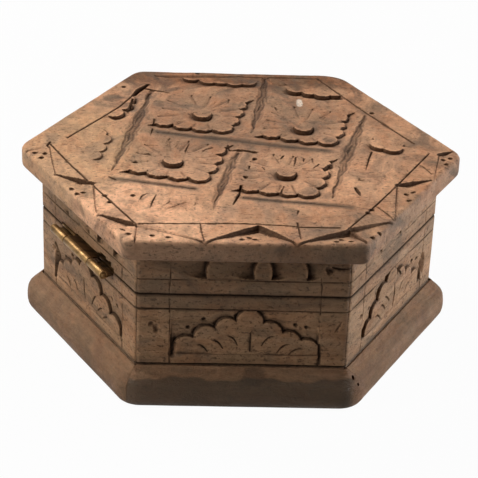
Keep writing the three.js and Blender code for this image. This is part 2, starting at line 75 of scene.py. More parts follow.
def wood_finish(name, pale, deep, grain_turn=0.0, shift=0.0, grime=0.5, spots=(), fibre=(3.2, 0.24), across=1.0,
                pitted=0.65, wax_and_shade_colour=(0.034, 0.0165, 0.0085)):
    """Oiled close-grained hardwood, mottled and pitted, its streaks and fibres running along X after a turn about Z.

    The point attribute for wax is 1 on the steep walls of cuts, which hold black old wax and painted shade, and the
    soot attribute is 1 where smoky grey dirt was rubbed into fine tool marks and where painted shade is laid on. The
    attribute "hollow" says how far a place lies below what is around it: dirt and painted shade darken it there, and
    where it is negative the edge is painted pale, as wear and as a painted highlight.
    Each spot is a centre and half widths along X and Y in mm, a colour, and how strongly it covers the wood. Fibre
    is a fibre's length and thickness in mm. An across above 1 makes the mottling and the patches wider across the
    grain and shorter along it. Pitted is how dark the pits are, and the last is the colour of the wax and painted
    shade.
    """
    material, tree, shader = new_material(name)

    def add(kind, settings=(), **sockets):
        """A node of this material."""
        return add_node(tree, kind, settings, **sockets)

    def pattern(size, detail, rough=0.55, twist=0.0, offset=0.0):
        """Noise stretched to a size in mm along, across and up the grain."""
        place = add("Mapping", Vector=grain.outputs[0], Location=(shift + offset, shift * 0.7, offset),
                    Scale=[1000.0 / length for length in size])
        return add("TexNoise", Vector=place.outputs[0], Scale=1.0, Detail=detail, Roughness=rough,
                   Distortion=twist).outputs["Fac"]

    def spread(value, low, high, bottom=0.0, top=1.0):
        """Low to high laid out as bottom to top, and no further."""
        return add("MapRange", {"clamp": True}, Value=value, From_Min=low, From_Max=high, To_Min=bottom,
                   To_Max=top).outputs[0]

    def laid_over(under, over, share):
        """A share of one colour over another."""
        return add("Mix", {"data_type": "RGBA"}, _0=share, _6=under, _7=over).outputs[2]

    def joined(first, second, operation="ADD"):
        """Two values added, or joined by another operation."""
        return add("Math", {"operation": operation}, _0=first, _1=second).outputs[0]

    def toned(colour, scale):
        """A colour made lighter or darker."""
        return add("VectorMath", {"operation": "SCALE"}, _0=colour, Scale=scale).outputs[0]

    coordinates = add("TexCoord").outputs["Object"]
    turned = add("Mapping", Vector=coordinates, Rotation=(0, 0, -grain_turn))
    sway = add("TexNoise", Vector=turned.outputs[0], Scale=45.0, Detail=1.0)
    lean = add("VectorMath", {"operation": "SCALE"}, _0=sway.outputs["Color"], Scale=0.004)
    grain = add("VectorMath", {"operation": "ADD"}, _0=turned.outputs[0], _1=lean.outputs[0])

    streaks = pattern((fibre[0] * 12, fibre[1] * 12, fibre[1] * 12), 6.0, 0.62, 0.6)
    fibres = pattern((fibre[0], fibre[1], fibre[1]), 5.0, 0.7, 0.0, 3.1)
    mottle = pattern((2.4 / across, 1.6 * across, 1.6), 7.0, 0.75, 0.3, 7.7)
    patches = pattern((10 / across, 7 * across, 7), 6.0, 0.68, 0.5, 5.3)
    smears = pattern((15 / across, 7 * across, 7), 5.0, 0.62, 1.0, 9.2)
    specks = pattern((0.9, 0.6, 0.6), 3.0, 0.6, 0.0, 2.4)

    colour = laid_over((*pale, 1), (*deep, 1), spread(streaks, 0.36, 0.66))
    for (x, y), (half_x, half_y), spot_colour, strength in spots:
        centred = add("Mapping", {"vector_type": "POINT"}, Vector=coordinates,
                      Location=(-x / half_x, -y / half_y, 0), Scale=(1000 / half_x, 1000 / half_y, 0))
        away = add("VectorMath", {"operation": "LENGTH"}, _0=centred.outputs[0]).outputs["Value"]
        tearing, torn = (smears, 0.22) if half_x > LARGE_SPOT else (specks, 0.12)
        ragged = joined(away, spread(tearing, 0.3, 0.7, torn, -torn))
        colour = laid_over(colour, (*spot_colour, 1), spread(ragged, 1.1, 0.8, 0.0, strength))
    colour = laid_over(colour, (deep[0], deep[1] * 0.84, deep[2] * 0.74, 1), spread(patches, 0.46, 0.68, 0, 0.75))
    colour = laid_over(colour, (deep[0] * 0.74, deep[1] * 0.84, deep[2] * 0.86, 1),
                       spread(patches, 0.52, 0.32, 0, 0.55))
    colour = laid_over(colour, (*GRIME, 1), spread(smears, 0.46, 0.68, 0, grime * 1.15))
    colour = toned(colour, spread(mottle, 0.32, 0.68, 0.76, 1.22))
    colour = toned(colour, spread(fibres, 0.3, 0.7, 0.87, 1.11))
    pits = spread(specks, 0.57, 0.66, 0.0, pitted)
    colour = laid_over(colour, (*PIT_DIRT, 1), pits)

    hollow, wax_and_shade, soot_and_shade = (add("Attribute", {"attribute_name": kept}).outputs["Fac"]
                         for kept in ("hollow", "wax_and_shade", "soot_and_shade"))
    # Soot darkens the wood where its attribute is laid on, and the same darkening is painted shade where shade falls.
    colour = laid_over(colour, (*SOOT_AND_SHADE, 1), joined(soot_and_shade, spread(mottle, 0.3, 0.7, 0.6, 0.95), "MULTIPLY"))
    # Hollows are darkened, as settled dirt and as painted shade.
    settled_and_shaded = joined(hollow, spread(patches, 0.3, 0.7, -0.05, 0.07))
    colour = laid_over(colour, (*SETTLED_DIRT_AND_SHADE, 1), spread(settled_and_shaded, 0.03, 0.34, 0.0, 0.8))
    # Raised edges are painted paler, as wear and as a painted highlight.
    colour = laid_over(colour, (min(pale[0] * 1.35, 1), pale[1] * 1.3, pale[2] * 1.25, 1),
                       spread(hollow, -0.05, -0.3, 0.0, 0.4))
    # Steep walls of cuts are painted near black, as old wax and as painted shade.
    wax_and_shade_share = joined(wax_and_shade, spread(specks, 0.25, 0.75, 0.8, 1.05), "MULTIPLY")
    colour = laid_over(colour, (*wax_and_shade_colour, 1), wax_and_shade_share)

    polish = spread(joined(smears, streaks), 0.8, 1.25, 0.5, 0.68)
    rough = joined(polish, joined(wax_and_shade, 0.25, "MULTIPLY"))
    shader.inputs["Specular IOR Level"].default_value = 0.18
    relief = joined(joined(fibres, 0.6, "MULTIPLY"), joined(pits, -0.7, "MULTIPLY"))
    relief = joined(relief, joined(mottle, 1.6, "MULTIPLY"))
    bump = add("Bump", Strength=0.8, Distance=0.0003, Height=relief).outputs[0]
    for value, socket in ((colour, "Base Color"), (rough, "Roughness"), (bump, "Normal")):
        tree.links.new(value, shader.inputs[socket])
    return material


def paint(piece, *materials):
    """Gives a piece these materials in place of its own."""
    piece.data.materials.clear()
    for material in materials:
        piece.data.materials.append(material)


PLAIN_PALE, PLAIN_DEEP = (0.37, 0.2, 0.105), (0.23, 0.118, 0.06)
paint(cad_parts["base_board"], wood_finish("base_wood", PLAIN_PALE, PLAIN_DEEP, grain_turn=0.3, shift=11.0))

# ---------------------------------------------------------------- body boards
# Six hardwood boards stand on edge round the base, mitred and glued. Score lines run round them at even heights,
# and each has a half flower of seven lobes chiselled into its panel. The chisel cuts hold dark old wax, and their
# steep walls are painted darker as painted shade.
SIDE = 48.0                      # length of one side outside
OUTER = -SIDE * math.cos(math.pi / 6)   # y of the front side's outer face
INNER = OUTER + 7.0
TAN30 = math.tan(math.pi / 6)
GLUE = 0.04
BODY_TOP, PLINTH_TOP = 27.75, 9.5
RIM_BOTTOM, RIM_TOP = 28.05, 38.65
PANEL = (-16.2, 17.5, 12.3, 24.2)      # score lines round a panel: left, right, foot, top
UPPER_LINE = 31.9
CARVED_PALE, CARVED_DEEP = (0.42, 0.235, 0.128), (0.28, 0.152, 0.08)

# The half flower of each side: its lobes as [middle along the side, height, radius], by sixths from the front.
LOBES = {
    0: [(-12.5, 14.1, 3.0), (-7.9, 17.0, 2.9), (-3.3, 19.3, 2.7), (1.7, 21.3, 3.0), (6.3, 18.4, 2.8),
        (10.6, 16.0, 2.8), (14.7, 13.9, 2.9)],
    1: [(-11.6, 13.4, 2.6), (-8.3, 16.4, 2.7), (-4.6, 19.3, 2.9), (-0.2, 21.3, 2.9), (4.9, 19.4, 2.7),
        (9.0, 17.4, 2.6), (13.0, 14.6, 2.8)],
    5: [(-13.8, 14.4, 2.8), (-9.9, 16.8, 2.7), (-5.6, 18.9, 2.8), (-1.1, 20.6, 2.9), (3.6, 18.9, 2.7),
        (8.3, 16.2, 2.8), (13.2, 13.6, 3.0)],
}
# Curved cuts on the lobes, and other cuts that only one side has, as chains of spots with widths and depths.
ARCS = {
    0: [[(-3.3, 17.4), (-1.9, 16.9), (-0.9, 15.1)], [(-6.8, 16.2), (-5.3, 15.8), (-4.2, 14.2)],
        [(-10.1, 15.0), (-8.8, 14.7), (-7.6, 13.2)], [(7.5, 17.5), (6.0, 17.0), (4.7, 15.1)],
        [(11.2, 15.4), (9.6, 15.0), (8.2, 13.2)], [(14.1, 14.3), (12.3, 14.0), (11.0, 12.8)]],
    1: [[(-4.0, 18.2), (-2.6, 17.6), (-1.2, 16.0)], [(-6.0, 16.9), (-4.5, 16.3), (-3.2, 14.6)],
        [(-8.8, 15.3), (-7.2, 14.9), (-5.7, 13.3)], [(6.8, 18.0), (5.4, 17.2), (4.8, 15.9)],
        [(10.6, 15.6), (9.2, 15.2), (8.0, 13.9)]],
    5: [[(4.7, 17.2), (3.6, 16.2), (2.6, 14.2)], [(7.9, 15.6), (6.6, 14.9), (5.5, 13.8)],
        [(10.4, 14.6), (9.3, 14.0), (8.3, 13.2)], [(-7.4, 16.2), (-5.8, 15.6), (-5.0, 14.2)],
        [(-11.0, 15.0), (-9.6, 14.6), (-8.6, 13.2)]],
}
EXTRA_CUTS = {
    0: [([(-15.7, 12.2), (-15.5, 14.2), (-15.0, 15.4)], [1.7, 1.5, 0.6], [1.0, 0.9, 0.4]),
        ([(2.0, 18.4), (2.0, 13.6)], [0.3, 0.42], [0.25, 0.42]),
        ([(2.0, 13.7), (4.6, 13.5), (7.0, 13.9)], [0.3, 0.25, 0.12], [0.2, 0.12, 0.06]),
        ([(17.6, 15.5), (17.8, 12.4), (17.9, 10.4)], [0.6, 0.8, 0.3], [0.6, 0.7, 0.3]),
        ([(22.4, 21.6), (21.6, 19.8), (21.0, 18.8)], [0.3, 0.9, 0.3], [0.15, 0.4, 0.15])],
    1: [([(1.4, 19.4), (1.8, 16.4), (1.2, 13.4)], [0.4, 0.9, 0.6], [0.2, 0.45, 0.3]),
        ([(18.2, 19.6), (17.6, 17.4), (18.4, 14.2)], [1.0, 3.2, 1.0], [0.4, 1.2, 0.4]),
        ([(14.8, 32.4), (16.6, 31.6), (18.2, 30.8)], [0.5, 0.6, 0.2], [0.4, 0.4, 0.1]),
        ([(0.4, 32.2), (1.2, 31.4)], [0.6, 0.5], [0.5, 0.3]),
        ([(3.8, 21.6), (4.6, 20.4)], [0.7, 0.5], [0.6, 0.4])],
    5: [([(-16.4, 21.2), (-15.4, 18.4), (-16.2, 14.8), (-16.6, 12.0)], [0.8, 2.4, 1.6, 1.0], [0.6, 1.4, 1.2, 0.8]),
        ([(-1.6, 18.6), (-1.2, 15.6), (-0.8, 13.8)], [0.5, 0.5, 0.3], [0.3, 0.35, 0.2]),
        ([(16.9, 17.0), (17.2, 14.4), (17.2, 12.0)], [1.2, 0.9, 0.5], [1.0, 0.8, 0.4])],
}


def clamp(values):
    """Keeps values between 0 and 1."""
    return np.clip(values, 0, 1)


def mitre(y):
    """Half the length of a mitred board at a distance y from the centre."""
    return -y * TAN30 - GLUE / math.sqrt(3)


def within(x, y, spots, reach):
    """The points within reach of the box around some spots."""
    low, high = np.min(spots, 0) - reach, np.max(spots, 0) + reach
    return np.flatnonzero((x > low[0]) & (x < high[0]) & (y > low[1]) & (y < high[1]))


def score(depth, x, y, line, width, deep, lean=0.0):
    """A V cut along a chain of spots. Width and deep may be given at each spot; lean moves the V's floor aside."""
    line = np.asarray(line, float)
    width = np.broadcast_to(np.asarray(width, float), len(line)) / 2
    deep = np.broadcast_to(np.asarray(deep, float), len(line))
    near = within(x, y, line, width.max())
    cut = np.zeros(len(near))
    for (ax, ay), (bx, by), wa, wb, da, db in zip(line, line[1:], width, width[1:], deep, deep[1:]):
        dx, dy = bx - ax, by - ay
        px, py = x[near] - ax, y[near] - ay
        share = clamp((px * dx + py * dy) / (dx * dx + dy * dy))
        side = np.sign(px * dy - py * dx)
        half = np.maximum(wa + (wb - wa) * share, 1e-6)
        across = side * np.hypot(px - share * dx, py - share * dy) / half
        slope = np.where(across < lean, (across + 1) / (1 + lean), (1 - across) / (1 - lean))
        cut = np.maximum(cut, (da + (db - da) * share) * clamp(slope))
    depth[near] = np.maximum(depth[near], cut)


def curved(line, width, deep, lean=0.0):
    """A cut through three spots as a smooth curve, ready for score."""
    first, middle, last = (np.array(spot) for spot in line)
    share = np.linspace(0, 1, 7)[:, None]
    bend = 2 * middle - (first + last) / 2
    spots = (1 - share) ** 2 * first + 2 * share * (1 - share) * bend + share ** 2 * last
    return spots, np.interp(share[:, 0], [0, 0.5, 1], width), np.interp(share[:, 0], [0, 0.5, 1], deep), lean


def punch(depth, x, y, spots, size, deep):
    """Round dots struck with a pointed punch."""
    for spot in spots:
        near = within(x, y, [spot], size)
        away = np.hypot(x[near] - spot[0], y[near] - spot[1]) / size
        depth[near] += deep * clamp(1.6 * (1 - away))


def hand_waves(x, y, seed, length, height):
    """The gentle unevenness that a plane or a chisel leaves, always inwards."""
    draw = np.random.default_rng(seed)
    total = np.zeros(np.shape(x))
    for _ in range(8):
        turn, phase = draw.uniform(0, 2 * math.pi, 2)
        wave = length * draw.uniform(0.5, 1.7)
        total += np.sin((x * math.cos(turn) + y * math.sin(turn)) * 2 * math.pi / wave + phase)
    return (total / 8 + 1) * height


def eased(gap, radius):
    """How far a worn edge falls away at a distance from it."""
    return radius * clamp(1 - gap / radius) ** 2 * 0.6


def panel_carving(depth, x, z, turn):
    """The half flower: its ground is sunk beside the lobes and rises outwards, and lines are cut on the lobes."""
    draw = np.random.default_rng(60 + turn)
    lobes = LOBES.get(turn) or [(cx + draw.normal(0, 0.2), cz + draw.normal(0, 0.2), r) for cx, cz, r in LOBES[0]]
    left, right, foot, top = PANEL
    away, leftward = np.full(len(x), 99.0), np.zeros(len(x))
    for cx, cz, radius in lobes:
        reach = np.hypot(x - cx, np.maximum(z - cz, 0))
        leftward = np.where(reach - radius < away, clamp((cx - x) / np.maximum(reach, 0.1)), leftward)
        away = np.minimum(away, reach - radius)
    inside = clamp(np.minimum.reduce([x - left, right - x, z - foot, top - z]) / 0.4)
    fall = {0: 0.85, 1: 0.72, 5: 0.85}.get(turn, 0.95)
    ragged = 0.25 * np.sin(x * 2.3 + z * 1.1 + turn) + 0.2 * np.sin(x * 4.1 - z * 3.3)
    ground = fall * clamp(1 - (away + 0.3 * ragged) / 5.5) ** 1.2 * clamp(away / 0.15) * inside
    moat = (0.5 if turn == 1 else 0.6) * leftward * clamp(1 - away) * clamp(away / 0.15) * inside
    moat *= clamp(0.5 + 2.4 * ragged)
    depth[:] = np.maximum(depth, ground + moat)
    depth[:] = np.maximum(depth, 0.15 * clamp(1 + away / 0.7) ** 2 * (away < 0) * inside)
    for arc in ARCS.get(turn, ARCS[0]):
        score(depth, x, z, *curved(arc, [0.2, 0.5, 0.35], [0.12, 0.42, 0.25], 0.3))
    for line, width, deep in EXTRA_CUTS.get(turn, EXTRA_CUTS[0][:3]):
        score(depth, x, z, line, width, deep)
    punch(depth, x, z, [(-12.2, 19.3), (-8.7, 21.5), (12.0, 20.4), (14.5, 19.9)], 0.5, 0.5)
    punch(depth, x, z, [(-20.4, 20.2), (-19.4, 19.6), (-19.2, 18.6)] if turn == 0 else [(-17.2, 19.6)], 0.8, 0.5)


def rim_carving(depth, x, z, turn):
    """Beads under the lid's plate: scoops run into a short reel from both sides, and end in round chisel cuts."""
    draw = np.random.default_rng(80 + turn)
    slide = {0: 0.0, 1: 0.4, 5: -0.9}.get(turn, draw.uniform(-0.7, 0.7))
    deepest = {1: 0.8, 5: 1.1}.get(turn, 1.6)
    for edge, way, length in ((2.6, -1, 6.6), (5.8, 1, 5.2), (-8.0, -1, 6.0), (13.7, 1, 4.2)):
        out = (x - slide - edge) * way - 0.5 * (1 - ((z - 34.0) / 2.2) ** 2)
        share = clamp(out / length)
        rise = clamp((z - 32.2 - 1.5 * share ** 2) / 1.1)
        scoop = deepest * (1 - share) ** 1.3 * clamp(out / 0.2) * rise * (2 - rise)
        depth[:] = np.maximum(depth, scoop)
    if turn in (0, 3):
        punch(depth, x, z, [(18.5, 35.2), (19.4, 34.9), (18.9, 34.4)], 0.7, 0.5)
        score(depth, x, z, [(19.6, 35.6), (21.5, 35.3), (24.0, 35.5)], [0.6, 0.5, 0.3], [0.5, 0.4, 0.2])


def side_depth(x, z, turn):
    """How deep the outside of a side is cut, at x along it and z up, on the body and on the lid's rim alike."""
    depth = np.zeros(len(x))
    if z.max() < RIM_BOTTOM:
        panel_carving(depth, x, z, turn)
    else:
        rim_carving(depth, x, z, turn)
    left, right, foot, top = PANEL
    draw = np.random.default_rng(20 + turn)
    for height, wide, deep in ((top, 0.42, 0.38), (UPPER_LINE, 0.38, 0.26)):
        wander = draw.normal(0, 0.08, 7)
        line = [(at, height + w) for at, w in zip(np.linspace(-24.5, 24.5, 7), wander)]
        vary = draw.uniform(0.5, 1.1, 7)
        score(depth, x, z, line, wide * vary, deep * vary)
    score(depth, x, z, [(-26, PLINTH_TOP + 0.22), (0, PLINTH_TOP + 0.3), (26, PLINTH_TOP + 0.22)], 0.55,
          0.6 if turn == 0 else 0.3)
    for at, low, high in ((left, 10, 23.4), (left - 0.1, 23.4, 36.8), (right, 10, 23.4), (right - 0.1, 23.4, 34)):
        wander = draw.normal(0, 0.1, 4)
        line = [(at + w, level) for w, level in zip(wander, np.linspace(low, high, 4))]
        score(depth, x, z, line, [0.36, 0.24, 0.36, 0.24], [0.26, 0.12, 0.24, 0.1])
    score(depth, x, z, [(left, foot), (0, foot - 0.1), (right, foot + 0.1)], [0.8, 0.7, 0.8], [0.3, 0.22, 0.3], -0.6)
    draw = np.random.default_rng(140 + turn)
    for _ in range(26):
        ax, az = draw.uniform(-23, 23), draw.uniform(10.5, 38)
        length, tilt = draw.uniform(0.6, 3.4), draw.normal(0, 0.25)
        score(depth, x, z, [(ax, az), (ax + length, az + length * tilt)], [0.12, 0.3], [0.05, 0.2])
    corner = eased(mitre(OUTER) - np.abs(x), radius=0.9)
    return depth + hand_waves(x, z, 200 + turn, length=14, height=0.09) + corner


def points_of(piece):
    """A mesh's vertices as an array with a row for each."""
    flat = np.empty(len(piece.data.vertices) * 3)
    piece.data.vertices.foreach_get("co", flat)
    return flat.reshape(-1, 3)


def move_points(piece, points):
    """Puts a mesh's vertices at new places."""
    piece.data.vertices.foreach_set("co", np.ascontiguousarray(points, dtype=np.float32).ravel())
    piece.data.update()


def pick(piece, vertices=None, edges=None, mode=(True, False, False)):
    """Selects vertices or edges by a mask, or nothing, and goes into edit mode."""
    mesh = piece.data
    for group, mask in ((mesh.vertices, vertices), (mesh.edges, edges), (mesh.polygons, None)):
        flags = np.zeros(len(group), bool) if mask is None else mask
        group.foreach_set("select", flags)
    bpy.context.tool_settings.mesh_select_mode = mode
    bpy.ops.object.mode_set(mode="EDIT")


CLIFF = 0.25            # mm; an edge along which the carving falls this much is split even where it is straight


def follow_carving(piece, depth_at, finest, tolerance):
    """Splits the edges across which the carving bends, until they are short enough to follow it."""
    mesh = piece.data
    shares = np.array([0, 0.2, 0.4, 0.6, 0.8, 1])
    for _ in range(4):
        points = points_of(piece)
        ends = np.empty(len(mesh.edges) * 2, int)
        mesh.edges.foreach_get("vertices", ends)
        a, b = points[ends[0::2]], points[ends[1::2]]
        levels = np.array([depth_at(a + (b - a) * share) for share in shares])
        straight = levels[0] + (levels[-1] - levels[0]) * shares[:, None]
        bend = np.abs(levels - straight).max(0)
        steep = np.ptp(levels, 0) > CLIFF
        split = ((bend > tolerance) | steep) & (np.linalg.norm(a - b, axis=1) > finest)
        if not split.any():
            return
        pick(piece, edges=split, mode=(False, True, False))
        bpy.ops.mesh.subdivide(number_cuts=1, ngon=False)
        bpy.ops.mesh.select_all(action="SELECT")
        bpy.ops.mesh.quads_convert_to_tris()
        bpy.ops.object.mode_set(mode="OBJECT")


PROBE, AROUND = 0.13, (0.4, 1.0)        # mm; how far off a slope is measured, and the mean of what is around
WAX_AND_SHADE_FROM, WAX_AND_SHADE_RISE = 0.85, 0.6          # the slope at which wax and painted shade start to darken a wall, and what more it takes to darken it fully


def keep_dirt_and_shade(piece, x, y, depth_at, share=1.0, blackened=0.0, soot_and_shade=0.0, added_hollow=0.0):
    """Writes where old wax and painted shade darken steep walls, and how far each point lies below the mean of what is
    around it.

    Share is how much of both is kept. Blackened is wax, and the added hollow a hollow's depth, that lie there apart
    from the cuts. Soot, and the painted shade given with it, is stored as it is given.
    """
    here = depth_at(x, y)
    around, steepest = np.zeros(len(x)), np.zeros(len(x))
    for heading in np.arange(8) * SIXTH * 0.75:
        c, s = math.cos(heading), math.sin(heading)
        steepest = np.maximum(steepest, np.abs(depth_at(x + PROBE * c, y + PROBE * s) - here) / PROBE)
        for reach in AROUND:
            around += depth_at(x + reach * c, y + reach * s) / 16
    for name, values in (("wax_and_shade", np.maximum(clamp((steepest - WAX_AND_SHADE_FROM) / WAX_AND_SHADE_RISE) * share, blackened)),
                         ("hollow", (here - around) * share + added_hollow), ("soot_and_shade", soot_and_shade)):
        whole = np.zeros(len(piece.data.vertices), np.float32)
        whole[:len(x)] = values
        piece.data.attributes.new(name, "FLOAT", "POINT").data.foreach_set("value", whole)


def pick_open_edges():
    """In edit mode, selects the open edges of the mesh and nothing else."""
    bpy.ops.mesh.select_all(action="DESELECT")
    bpy.ops.mesh.select_non_manifold(extend=False, use_wire=False, use_multi_face=False, use_non_contiguous=False,
                                     use_verts=False)


def face_outwards():
    """In edit mode, turns all the faces outwards, and leaves it."""
    bpy.ops.mesh.select_all(action="SELECT")
    bpy.ops.mesh.normals_make_consistent(inside=False)
    bpy.ops.object.mode_set(mode="OBJECT")


def turned_about(points, turn):
    """Points turned about Z by a number of sixths, from mm into metres."""
    c, s = math.cos(turn * SIXTH), math.sin(turn * SIXTH)
    x, y, z = points.T
    return np.stack([x * c - y * s, x * s + y * c, z], 1) * MM


def deselect():
    """Back to object mode, with nothing selected."""
    if bpy.context.mode != "OBJECT":
        bpy.ops.object.mode_set(mode="OBJECT")
    bpy.ops.object.select_all(action="DESELECT")


def make_active(piece):
    """Selects one piece alone, for the operators that follow."""
    deselect()
    piece.select_set(True)
    bpy.context.view_layer.objects.active = piece


def new_mesh(operator, name=None, **settings):
    """A simple mesh from one of the primitive operators, named if it is to stay."""
    deselect()
    operator(**settings)
    piece = bpy.context.object
    if name:
        piece.name = piece.data.name = name
    return piece


def carved_board(name, low, high, turn, step=0.6):
    """A mitred board standing on the side that is so many sixths from the front, carved on its outside."""
    length = mitre(OUTER)
    board = new_mesh(bpy.ops.mesh.primitive_grid_add, name, size=2, x_subdivisions=round(2 * length / step),
                     y_subdivisions=round((high - low) / step))
    points = points_of(board)
    points[:, 0] *= length
    points[:, 1] = low + (points[:, 1] + 1) / 2 * (high - low)
    move_points(board, points)
    pick(board, vertices=np.ones(len(points), bool))
    bpy.ops.mesh.quads_convert_to_tris(quad_method="FIXED_ALTERNATE")
    bpy.ops.object.mode_set(mode="OBJECT")

    def carving(x, z):
        """The side's carving, going on unchanged past the board's edges."""
        return side_depth(x, np.clip(z, low, high), turn)

    follow_carving(board, lambda flat: carving(flat[:, 0], flat[:, 1]), finest=0.18, tolerance=0.03)
    flat = points_of(board)
    x, z = flat[:, 0], flat[:, 1]
    worn = 0.5 if turn == 0 else 0.3
    depth = carving(x, z) + eased(high - z, worn) + eased(z - low, worn)
    limit = -(OUTER + depth) * TAN30 - GLUE / math.sqrt(3)
    outside = np.stack([np.clip(x, -limit, limit), OUTER + depth, z], 1)
    pick(board)
    pick_open_edges()
    bpy.ops.mesh.extrude_region()
    bpy.ops.mesh.edge_face_add()
    bpy.ops.object.mode_set(mode="OBJECT")
    inside = points_of(board)[len(flat):]
    inside = np.stack([inside[:, 0] * mitre(INNER) / length, np.full(len(inside), INNER), inside[:, 1]], 1)
    move_points(board, turned_about(np.vstack([outside, inside]), turn))
    # The saw line between body and lid is black. Soot and painted shade darken the band above the panel, most on the
    # front, and painted shade darkens two sides just over the plinth.
    parting = np.minimum(np.abs(z - BODY_TOP), np.abs(z - RIM_BOTTOM))
    above = (0.42 if turn == 0 else 0.1) * clamp((z - 23.4) / 1.2)
    over_plinth = 0.75 * (turn in (1, 5)) * clamp(1 - np.abs(z - 9.6) / 1.5)
    keep_dirt_and_shade(board, x, z, carving, share=0.85 if turn == 0 else 0.72,
              blackened=clamp(worn + 0.9 - parting / 0.3), soot_and_shade=np.maximum(above, over_plinth))
    pick(board)
    face_outwards()
    return board


def shape_with(piece, kind, **settings):
    """Puts a modifier on a piece and applies it."""
    make_active(piece)
    modifier = piece.modifiers.new(kind, kind)
    for key, value in settings.items():
        setattr(modifier, key, value)
    bpy.ops.object.modifier_apply(modifier=modifier.name)


def cut_away(piece, *tools):
    """Takes the tools' shapes out of a piece, and removes the tools."""
    for tool in tools:
        shape_with(piece, "BOOLEAN", operation="DIFFERENCE", solver="EXACT", object=tool)
        bpy.data.objects.remove(tool)


def block(low, high, turn=0):
    """A box between two corners in mm, turned about Z by a number of sixths."""
    box = new_mesh(bpy.ops.mesh.primitive_cube_add, size=1)
    low, high = np.array(low, float), np.array(high, float)
    move_points(box, turned_about((points_of(box) + 0.5) * (high - low) + low, turn))
    return box


def dovetail(left, right, foot, top, front, deep, flare):
    """A bar along the front board, from so far in front of its face to so deep in it, with a neck at the face."""
    bar = block((left, OUTER - front, foot), (right, OUTER + deep, top))
    corners = points_of(bar)
    neck = corners[:, 1] < OUTER * MM
    corners[neck, 2] -= np.sign(corners[neck, 2] - (foot + top) / 2 * MM) * flare * MM
    move_points(bar, corners)
    return bar


def leaf_mortise(low, high, turn):
    """The room of a hinge leaf, from a low to a high z."""
    return block((HINGE_LEFT - 0.1, OUTER - 1, low), (HINGE_RIGHT + 0.1, OUTER + MORTISE_DEEP, high), turn)


def barrel(radius, length, vertices, turn, name=None):
    """A rod along the axis of the hinge."""
    rod = new_mesh(bpy.ops.mesh.primitive_cylinder_add, name, vertices=vertices, radius=radius, depth=length,
                   rotation=(0, math.pi / 2, 0))
    bpy.ops.object.transform_apply()
    move_points(rod, turned_about(points_of(rod) + [BARREL_MIDDLE, AXIS_Y, AXIS_Z], turn))
    return rod


def finish_edges(piece, angle=40):
    """Shades a piece smooth but for the edges that are sharper than an angle."""
    make_active(piece)
    bpy.ops.object.shade_smooth_by_angle(angle=math.radians(angle))


SIDES = ["front", "front_right", "back_right", "back", "back_left", "front_left"]
PALENESS_AND_LIGHT = (1.06, 1.24, 1.15, 1.1, 1.1, 1.13)       # of each side's wood, which also paints in how brightly light falls on that side
side_woods = [
    wood_finish(f"side_wood_{name}", np.multiply(CARVED_PALE, tone_and_light), np.multiply(CARVED_DEEP, tone_and_light),
                grain_turn=turn * SIXTH, shift=3.0 + turn * 5.0)
    for turn, (name, tone_and_light) in enumerate(zip(SIDES, PALENESS_AND_LIGHT))
]

# The front board has a slot through it for the lock bolt's thumb, and a dovetail groove that the secret strip runs in.
# The front-left board is cut for the hinge: a shallow mortise in its top edge, and a hollow behind the barrel.
BOLT_SLOT = ((-16.39, OUTER - 1, 5.4), (-4.79, INNER + 1, 9.0))
GROOVE = (-30.0, 17.6, 0.9, 4.5, 1, 1.85, 0.675)       # as the dovetail's ends, foot, top, front, depth and neck
HINGE_LEFT, HINGE_RIGHT, MORTISE_DEEP = -12.4, 13.0, 6.1
ROOM_RADIUS, ROOM_LENGTH = 1.7, 26.6    # of the hollow behind the barrel
AXIS_Y, AXIS_Z, BARREL_MIDDLE = OUTER - 2.3, 27.9, 0.3
MIDDLE = (BARREL_MIDDLE - 5.8, BARREL_MIDDLE + 5.8)       # the ends of the middle knuckle

for turn, name in enumerate(SIDES):
    wall = carved_board(f"wall_board_{name}", 0.0, BODY_TOP, turn)
    if name == "front":
        cut_away(wall, block(*BOLT_SLOT), dovetail(*GROOVE))
    if name == "front_left":
        cut_away(wall, leaf_mortise(BODY_TOP - 0.9, 31, turn), barrel(ROOM_RADIUS, ROOM_LENGTH, 32, turn))
    finish_edges(wall)
    paint(wall, side_woods[turn])
    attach(wall, "box")
    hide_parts(f"wall_{name}")

# ---------------------------------------------------------------- plinth
# Strips of moulding glued round the foot of the boards: the top slopes out to a crease, and the nose below is round.
# They are mitred at the corners, which are rubbed round. The right end of the front strip runs past the corner.
NOSE_OUT, CORNER = 4.3, 7.5
# The section as [how far out, height], from the top edge over the crease and round the nose to the foot.
PLINTH_CURVE = [(0.3, 9.5), (1.3, 8.5), (2.3, 7.68), (2.4, 7.56), (3.1, 6.9), (3.66, 6.3), (4.02, 5.6), (4.17, 4.78),
                (4.28, 4.0), (4.3, 3.25), (4.24, 2.5), (4.09, 1.81), (3.8, 1.2), (3.44, 0.67), (2.9, 0.25), (2.24, 0)]
PLINTH_PALE, PLINTH_DEEP = (0.28, 0.152, 0.083), (0.19, 0.101, 0.055)


def plinth_section(back):
    """The strip's section as points of [how far out, height], from its top edge round the nose to its back."""
    curve = np.array(PLINTH_CURVE)
    finer = [curve[0]]
    for a, b in zip(curve, curve[1:]):
        steps = max(1, round(float(np.hypot(*(b - a))) / 0.3))
        finer += [a + (b - a) * (step + 1) / steps for step in range(steps)]
    return [tuple(spot) for spot in finer] + [(back, 0.0)] + [(back, h) for h in (3.5, 7.0, PLINTH_TOP)]


def round_corner(apothem, radius, angle):
    """Where the outline of the front side lies at an angle past its straight part, from the corner at its right."""
    reach = (apothem - radius) / math.cos(math.pi / 6)
    return (reach * math.sin(math.pi / 6) + radius * math.sin(angle),
            -reach * math.cos(math.pi / 6) - radius * math.cos(angle))


